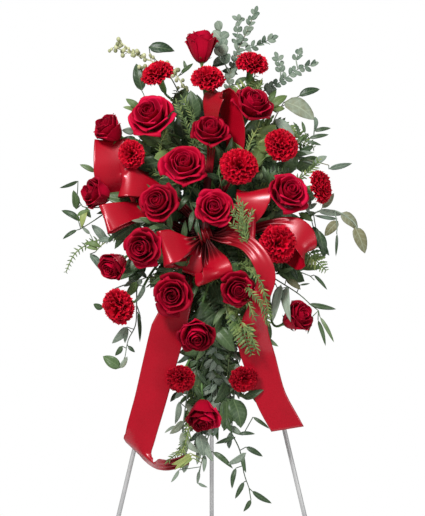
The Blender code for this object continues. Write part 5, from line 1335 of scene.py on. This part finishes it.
# Leaves that stand out at the spray's edge, each on a stalk from the nearest twig: material, then for each
# leaf its foot and tip as pixels of the photograph and depth, its width in millimetres and its tint
EDGE_LEAVES = {
    "edge_dark": ("dark_leaf", [
        ((299, 136, 98), (295, 121, 98), 8, 0.3), ((305, 133, 98), (302, 121, 98), 7, 0.4),
        ((314, 131, 100), (331, 129, 102), 9, 0.1), ((309, 138, 100), (329, 136, 102), 9, 0.1),
        ((306, 141, 100), (321, 146, 102), 7, 0.1), ((299, 96, 88), (320, 89, 88), 17, 0.0),
        ((300, 152, 88), (314, 147, 92), 14, 0.2), ((313, 226, 98), (326, 257, 102), 21, 0.1),
        ((337, 234, 112), (336, 256, 112), 6, 0.0), ((287, 261, 96), (297, 280, 104), 15, 0.0),
        ((292, 267, 96), (307, 253, 98), 14, 0.2), ((314, 275, 106), (328, 289, 106), 7, 0.2),
        ((300, 285, 100), (310, 284, 100), 4, 0.2), ((309, 304, 94), (336, 310, 98), 11, 0.2),
        ((313, 316, 96), (308, 334, 98), 7, 0.8), ((318, 320, 98), (325, 346, 98), 9, 0.4),
        ((320, 317, 98), (336, 341, 98), 8, 0.8), ((95, 172, 80), (80, 164, 84), 11, 0.8),
        ((78, 181, 92), (60, 189, 92), 8, 0.1), ((76, 209, 92), (74, 190, 94), 17, 0.6),
        ((80, 221, 92), (61, 210, 92), 14, 0.1), ((77, 230, 92), (62, 238, 92), 8, 0.1),
        ((86, 208, 92), (90, 218, 92), 12, 0.3), ((103, 308, 92), (93, 305, 92), 13, 0.3),
        ((128, 346, 78), (135, 352, 78), 8, 0.0), ((122, 346, 78), (116, 356, 78), 11, 0.3),
        ((120, 368, 78), (103, 356, 80), 23, 0.75), ((138, 312, 72), (139, 342, 72), 8, 0.2),
        ((128, 221, 116), (142, 214, 128), 10, 0.4), ((149, 47, 74), (174, 51, 78), 26, 0.0),
        ((186, 122, 84), (176, 92, 92), 34, 0.1), ((190, 118, 84), (188, 90, 92), 32, 0.3),
        ((198, 122, 84), (200, 94, 88), 34, 0.1), ((184, 140, 90), (180, 112, 96), 34, 0.2),
        ((196, 142, 90), (196, 116, 94), 34, 0.4), ((176, 196, 80), (168, 158, 86), 40, 0.1),
        ((182, 207, 80), (156, 189, 88), 40, 0.1), ((276, 211, 96), (256, 220, 100), 26, 0.0),
        ((262, 285, 120), (249, 271, 124), 20, 0.2), ((157, 161, 80), (143, 149, 84), 24, 0.2),
        ((277, 173, 84), (261, 162, 88), 24, 0.2), ((316, 229, 104), (325, 258, 108), 20, 0.1),
        ((128, 228, 120), (106, 242, 116), 11, 0.1), ((181, 73, 60), (193, 63, 64), 9, 0.5),
        ((186, 71, 60), (184, 60, 62), 7, 0.4), ((177, 97, 60), (187, 88, 64), 11, 0.4),
        ((212, 67, 50), (229, 60, 54), 13, 0.2), ((225, 79, 60), (239, 66, 64), 18, 0.1),
        ((222, 71, 56), (238, 74, 60), 13, 0.2), ((235, 85, 70), (247, 76, 74), 13, 0.4),
        ((168, 246, 84), (146, 238, 90), 34, 0.1), ((168, 232, 84), (150, 238, 92), 30, 0.2),
        ((142, 91, 80), (137, 63, 84), 25, 0.1), ((136, 139, 100), (121, 138, 104), 12, 0.2),
        ((233, 399, 70), (240, 427, 80), 38, 0.3), ((243, 398, 80), (264, 391, 96), 16, 0.2),
        ((253, 417, 64), (269, 429, 66), 8, 0.2), ((239, 434, 62), (255, 433, 64), 8, 0.0),
        ((235, 437, 62), (216, 445, 66), 9, 0.1), ((246, 447, 62), (263, 456, 64), 11, 0.0),
        ((243, 454, 60), (244, 473, 62), 9, 0.2), ((236, 468, 58), (230, 488, 60), 10, 0.1),
        ((244, 482, 58), (234, 498, 60), 10, 0.1), ((252, 491, 58), (272, 503, 60), 11, 0.1),
        ((251, 500, 58), (243, 511, 60), 10, 0.2), ((213, 452, 56), (234, 466, 62), 12, 0.3),
        ((178, 392, 60), (171, 402, 64), 10, 0.0),
    ]),
    "edge_grey": ("grey_leaf", [
        ((284, 102, 93), (316, 118, 100), 40, 0.84), ((315, 117, 100), (317, 130, 98), 9, 0.1),
        ((275, 119, 108), (298, 140, 110), 22, 0.6), ((314, 163, 88), (327, 156, 90), 14, 0.5),
        ((329, 169, 92), (352, 162, 94), 12, 0.15), ((318, 211, 98), (343, 213, 102), 13, 0.7),
        ((341, 213, 108), (359, 229, 112), 26, 0.9), ((355, 227, 116), (365, 253, 118), 26, 0.95),
        ((338, 221, 108), (325, 236, 106), 20, 1.0), ((322, 208, 98), (335, 194, 100), 14, 0.9),
        ((307, 212, 96), (311, 197, 98), 12, 0.7), ((309, 209, 96), (317, 203, 98), 10, 0.5),
        ((281, 285, 120), (274, 321, 160), 18, 0.75), ((287, 287, 120), (286, 318, 172), 20, 0.75),
        ((286, 280, 98), (301, 289, 98), 15, 1.0), ((106, 242, 86), (92, 224, 90), 17, 0.3),
        ((104, 240, 84), (97, 227, 88), 12, 0.1), ((90, 234, 90), (81, 227, 92), 7, 0.6),
        ((90, 254, 90), (104, 272, 92), 15, 0.05), ((145, 286, 92), (136, 303, 94), 10, 0.3),
        ((127, 327, 76), (113, 344, 78), 17, 0.5), ((127, 328, 76), (125, 343, 78), 10, 0.4),
        ((120, 368, 78), (128, 357, 80), 11, 0.8), ((146, 222, 140), (132, 219, 150), 9, 0.8),
        ((135, 132, 104), (122, 130, 112), 15, 0.6), ((213, 65, 56), (227, 55, 60), 15, 0.3),
        ((273, 97, 84), (266, 83, 88), 15, 0.3), ((337, 219, 96), (314, 217, 100), 8, 0.2),
        ((113, 240, 112), (98, 240, 110), 12, 0.2), ((179, 402, 66), (177, 424, 68), 13, 0.5),
        ((176, 426, 60), (164, 432, 62), 6, 0.6), ((184, 431, 62), (183, 456, 66), 21, 0.8),
        ((200, 434, 62), (203, 457, 66), 26, 0.4), ((179, 470, 56), (172, 483, 58), 7, 0.5),
        ((199, 471, 54), (197, 484, 56), 7, 0.5), ((198, 483, 56), (207, 488, 58), 6, 0.4),
        ((205, 455, 52), (203, 472, 54), 9, 0.5), ((246, 453, 62), (227, 464, 66), 15, 0.6),
    ]),
    "edge_green": ("fern_green", [
        ((270, 107, 96), (288, 96, 98), 18, 0.4), ((271, 109, 94), (285, 109, 96), 13, 0.7),
        ((267, 105, 94), (276, 89, 96), 13, 0.2), ((300, 219, 84), (316, 212, 88), 15, 0.2),
        ((297, 263, 98), (320, 257, 100), 16, 0.6), ((298, 267, 98), (323, 269, 100), 13, 0.3),
        ((86, 209, 92), (82, 228, 94), 15, 0.9), ((137, 282, 92), (126, 297, 96), 18, 0.3),
        ((140, 109, 92), (126, 98, 96), 15, 0.3), ((248, 92, 90), (263, 80, 94), 20, 0.4),
        ((253, 93, 90), (252, 76, 94), 15, 0.3), ((299, 213, 100), (313, 221, 104), 13, 0.2),
        ((101, 247, 108), (84, 242, 106), 11, 0.4), ((98, 249, 108), (86, 247, 106), 9, 0.6),
        ((77, 216, 124), (90, 209, 128), 9, 0.3), ((136, 111, 92), (123, 107, 96), 9, 0.7),
        ((178, 152, 104), (150, 141, 118), 26, 0.4), ((176, 154, 104), (160, 137, 118), 22, 0.2),
        ((192, 455, 92), (172, 466, 98), 12, 1.0), ((190, 453, 90), (175, 470, 98), 10, 0.9),
        ((193, 458, 92), (180, 469, 98), 9, 0.8),
    ]),
}


def edge_leaves(title):
    """Single leaves at the spray's edge, each on a stalk that joins the nearest twig."""
    finish_name, leaves = EDGE_LEAVES[title]
    rng = random.Random(title)
    pile = Pile()
    for foot, tip, width, tint in leaves:
        foot, tip = seen(*foot), seen(*tip)
        joint = min(TWIG_POINTS, key=lambda p: (p - foot).length)
        middle = joint.lerp(foot, 0.5) - heading(0, 0, 1) * STALK_SAG
        pile.tube([joint, middle, foot], [STALK_RADIUS] * 3, tint, sides=6)
        view = heading(rng.uniform(-0.4, 0.4), rng.uniform(-0.4, 0.4), 1)
        leaf = leaf_grid(foot, tip - foot, view, (tip - foot).length, width * MM, BLADE, rng)
        pile.grid(*leaf, tint)
    piece(title, pile, finish_name, thickness=LEAF_THICKNESS)


def filler_routes(rng, count, lengths, depths):
    """Routes of short sprays set all over the foam, spreading outwards low behind the blooms."""
    for k in range(count):
        turn = 2 * math.pi * (k + rng.uniform(-0.3, 0.3)) / count
        out_u, out_w = math.sin(turn), math.cos(turn)
        inner = rng.uniform(0.25, 1.0)
        u, w = FILLER_SPREAD[0] * inner * out_u, FILLER_SPREAD[1] * inner * out_w
        depth, reach = rng.uniform(*depths), rng.uniform(*lengths)
        tip_depth = depth + rng.uniform(-14, 8)
        yield [place(u * 0.8, w * 0.8, min(depth, FOAM_FRONT / MM) - FILLER_DEPTH),
               place(u + 0.45 * reach * out_u, w + 0.45 * reach * out_w, depth),
               place(u + reach * out_u, w + reach * out_w, tip_depth)]


def hanging_routes(rng, count, lengths):
    """Routes of sprays that stand in the foam's lower end and hang down between the tails."""
    for _ in range(count):
        u, reach, depth = rng.uniform(-40, 40), rng.uniform(*lengths), rng.uniform(34, 78)
        middle_u = u + rng.uniform(-16, 16)
        tip_u = u * 0.7 + rng.uniform(-26, 26)
        yield [place(u * 0.8, HANGING_HEIGHT + 8, depth - 6),
               place(u * 0.8, HANGING_HEIGHT - 12, depth),
               place(middle_u, HANGING_HEIGHT - 0.45 * reach, depth + 14),
               place(tip_u, HANGING_HEIGHT - reach, depth - 6)]


def accent_routes(_, routes):
    """Routes of single sprays, each rooted in the nearest part of the foam's front."""
    right, top, depth = ACCENT_FOOT
    for points in routes:
        u, w, _ = points[0]
        foot = place(max(-right, min(right, u)), max(-top, min(top, w)), depth)
        yield [foot, *(place(*point) for point in points)]


def sprays(title, make_routes, shape, finish_name, *choices):
    """A piece of short leafy twigs with their feet in the foam. Each is grown before the next is placed."""
    rng = random.Random(title)
    pile = Pile()
    for points in make_routes(rng, *choices):
        fine = smooth_route(points, TWIG_STEP)
        pile.tube(fine, [SPRAY_RADIUS] * len(fine), rng.random(), sides=6)
        grow(rng, pile, shape, fine[3:] if "reach" in shape else fine, BARE_SPRAY)
    piece(title, pile, finish_name, thickness=LEAF_THICKNESS)


# Stand, floor, light and camera

def finish_stand():
    """Materials for what stays as the model has it."""
    slots = {"foam_block": "foam_green", "foam_tray": "tray_plastic", "bow_pick": "pick_wood"}
    for name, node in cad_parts.items():
        if name.startswith("easel_"):
            slots[name] = "easel_wire"
        if name in slots:
            node.material_slots[0].material = MATERIALS[slots[name]]


# How bright the surroundings are as light on the object and in its reflections, against 1 behind it
AMBIENT = 0.56
REFLECTED = 0.20
FLOOR_RADIUS = 1.5
# Each lamp: where it stands, its size in metres and its power in watts, and the height that they all aim at
LAMPS = {
    "key": ((-1.1, -2.3, 2.9), 0.7, 110.0),
    "fill": ((2.0, -2.2, 1.5), 1.2, 26.0),
    "back": ((0.8, 2.2, 2.4), 1.4, 50.0),
}
AIM_HEIGHT = 1.05
SENSOR_WIDTH = 36


def surroundings():
    """A plain white background, dimmer where it lights the object, and dimmer still in reflections."""
    world = bpy.data.worlds.new("white")
    world.use_nodes = True
    tree = world.node_tree
    path = tree.nodes.new("ShaderNodeLightPath")
    backdrop = tree.nodes["Background"]
    backdrop.inputs["Color"].default_value = (1, 1, 1, 1)
    last = backdrop.outputs["Background"]
    for strength, ray in ((AMBIENT, "Is Diffuse Ray"), (REFLECTED, "Is Glossy Ray")):
        dim = tree.nodes.new("ShaderNodeBackground")
        dim.inputs["Color"].default_value = (1, 1, 1, 1)
        dim.inputs["Strength"].default_value = strength
        mix = tree.nodes.new("ShaderNodeMixShader")
        tree.links.new(path.outputs[ray], mix.inputs["Fac"])
        tree.links.new(last, mix.inputs[1])
        tree.links.new(dim.outputs["Background"], mix.inputs[2])
        last = mix.outputs["Shader"]
    tree.links.new(last, tree.nodes["World Output"].inputs["Surface"])
    return world


def studio():
    """White surroundings, a pale floor and three broad lamps."""
    scene = bpy.context.scene
    scene.view_settings.view_transform = "Standard"
    scene.view_settings.look = "None"
    scene.world = surroundings()
    bpy.ops.mesh.primitive_circle_add(vertices=96, radius=FLOOR_RADIUS, fill_type="NGON", location=(0, 0, 0))
    floor = bpy.context.object
    floor.name = "floor"
    made, nodes = new_material("floor", 0.7)
    nodes.colour(nodes.ramp(nodes.noise(nodes.place_at(), 3.0),
                            ((0.3, (0.80, 0.80, 0.80)), (0.7, (0.84, 0.84, 0.835)))))
    floor.data.materials.append(made)
    target = Vector((0, FOOT_LINE_Y, AIM_HEIGHT))
    for name, (at, size, power) in LAMPS.items():
        light = bpy.data.lights.new(name, "AREA")
        light.energy = power
        light.size = size
        lamp = bpy.data.objects.new(name, light)
        lamp.location = at
        lamp.rotation_euler = (target - lamp.location).to_track_quat("-Z", "Y").to_euler()
        scene.collection.objects.link(lamp)


def camera():
    """The photograph's camera: level and straight in front, a pixel of its picture 2 mm at the spray."""
    lens = bpy.data.cameras.new("camera")
    lens.sensor_width = SENSOR_WIDTH
    lens.sensor_fit = "AUTO"
    lens.lens = SENSOR_WIDTH * CAMERA_DISTANCE / VIEW_HEIGHT
    made = bpy.data.objects.new("camera", lens)
    made.location = CAMERA_PLACE
    made.rotation_euler = (math.pi / 2, 0, 0)
    bpy.context.scene.collection.objects.link(made)
    bpy.context.scene.camera = made


def build():
    """Every piece of the spray, and what surrounds it."""
    for name in BLOOMS:
        if kind_of(name) == "rose":
            rose(name)
        else:
            carnation(name)
    for group in STEM_GROUPS:
        stem_row(group)
    for name in LOOPS:
        bow_loop(name)
    bow_knot()
    for name in TAILS:
        tail(name)
    for name in GREENERY:
        leafy_stem(name)
    for make_routes, listed in ((filler_routes, FILLERS), (hanging_routes, HANGING),
                                (accent_routes, ACCENTS)):
        for title, choices in listed.items():
            sprays(title, make_routes, *choices)
    for title in EDGE_LEAVES:
        edge_leaves(title)
    finish_stand()
    studio()
    camera()


build()
bpy.context.view_layer.update()
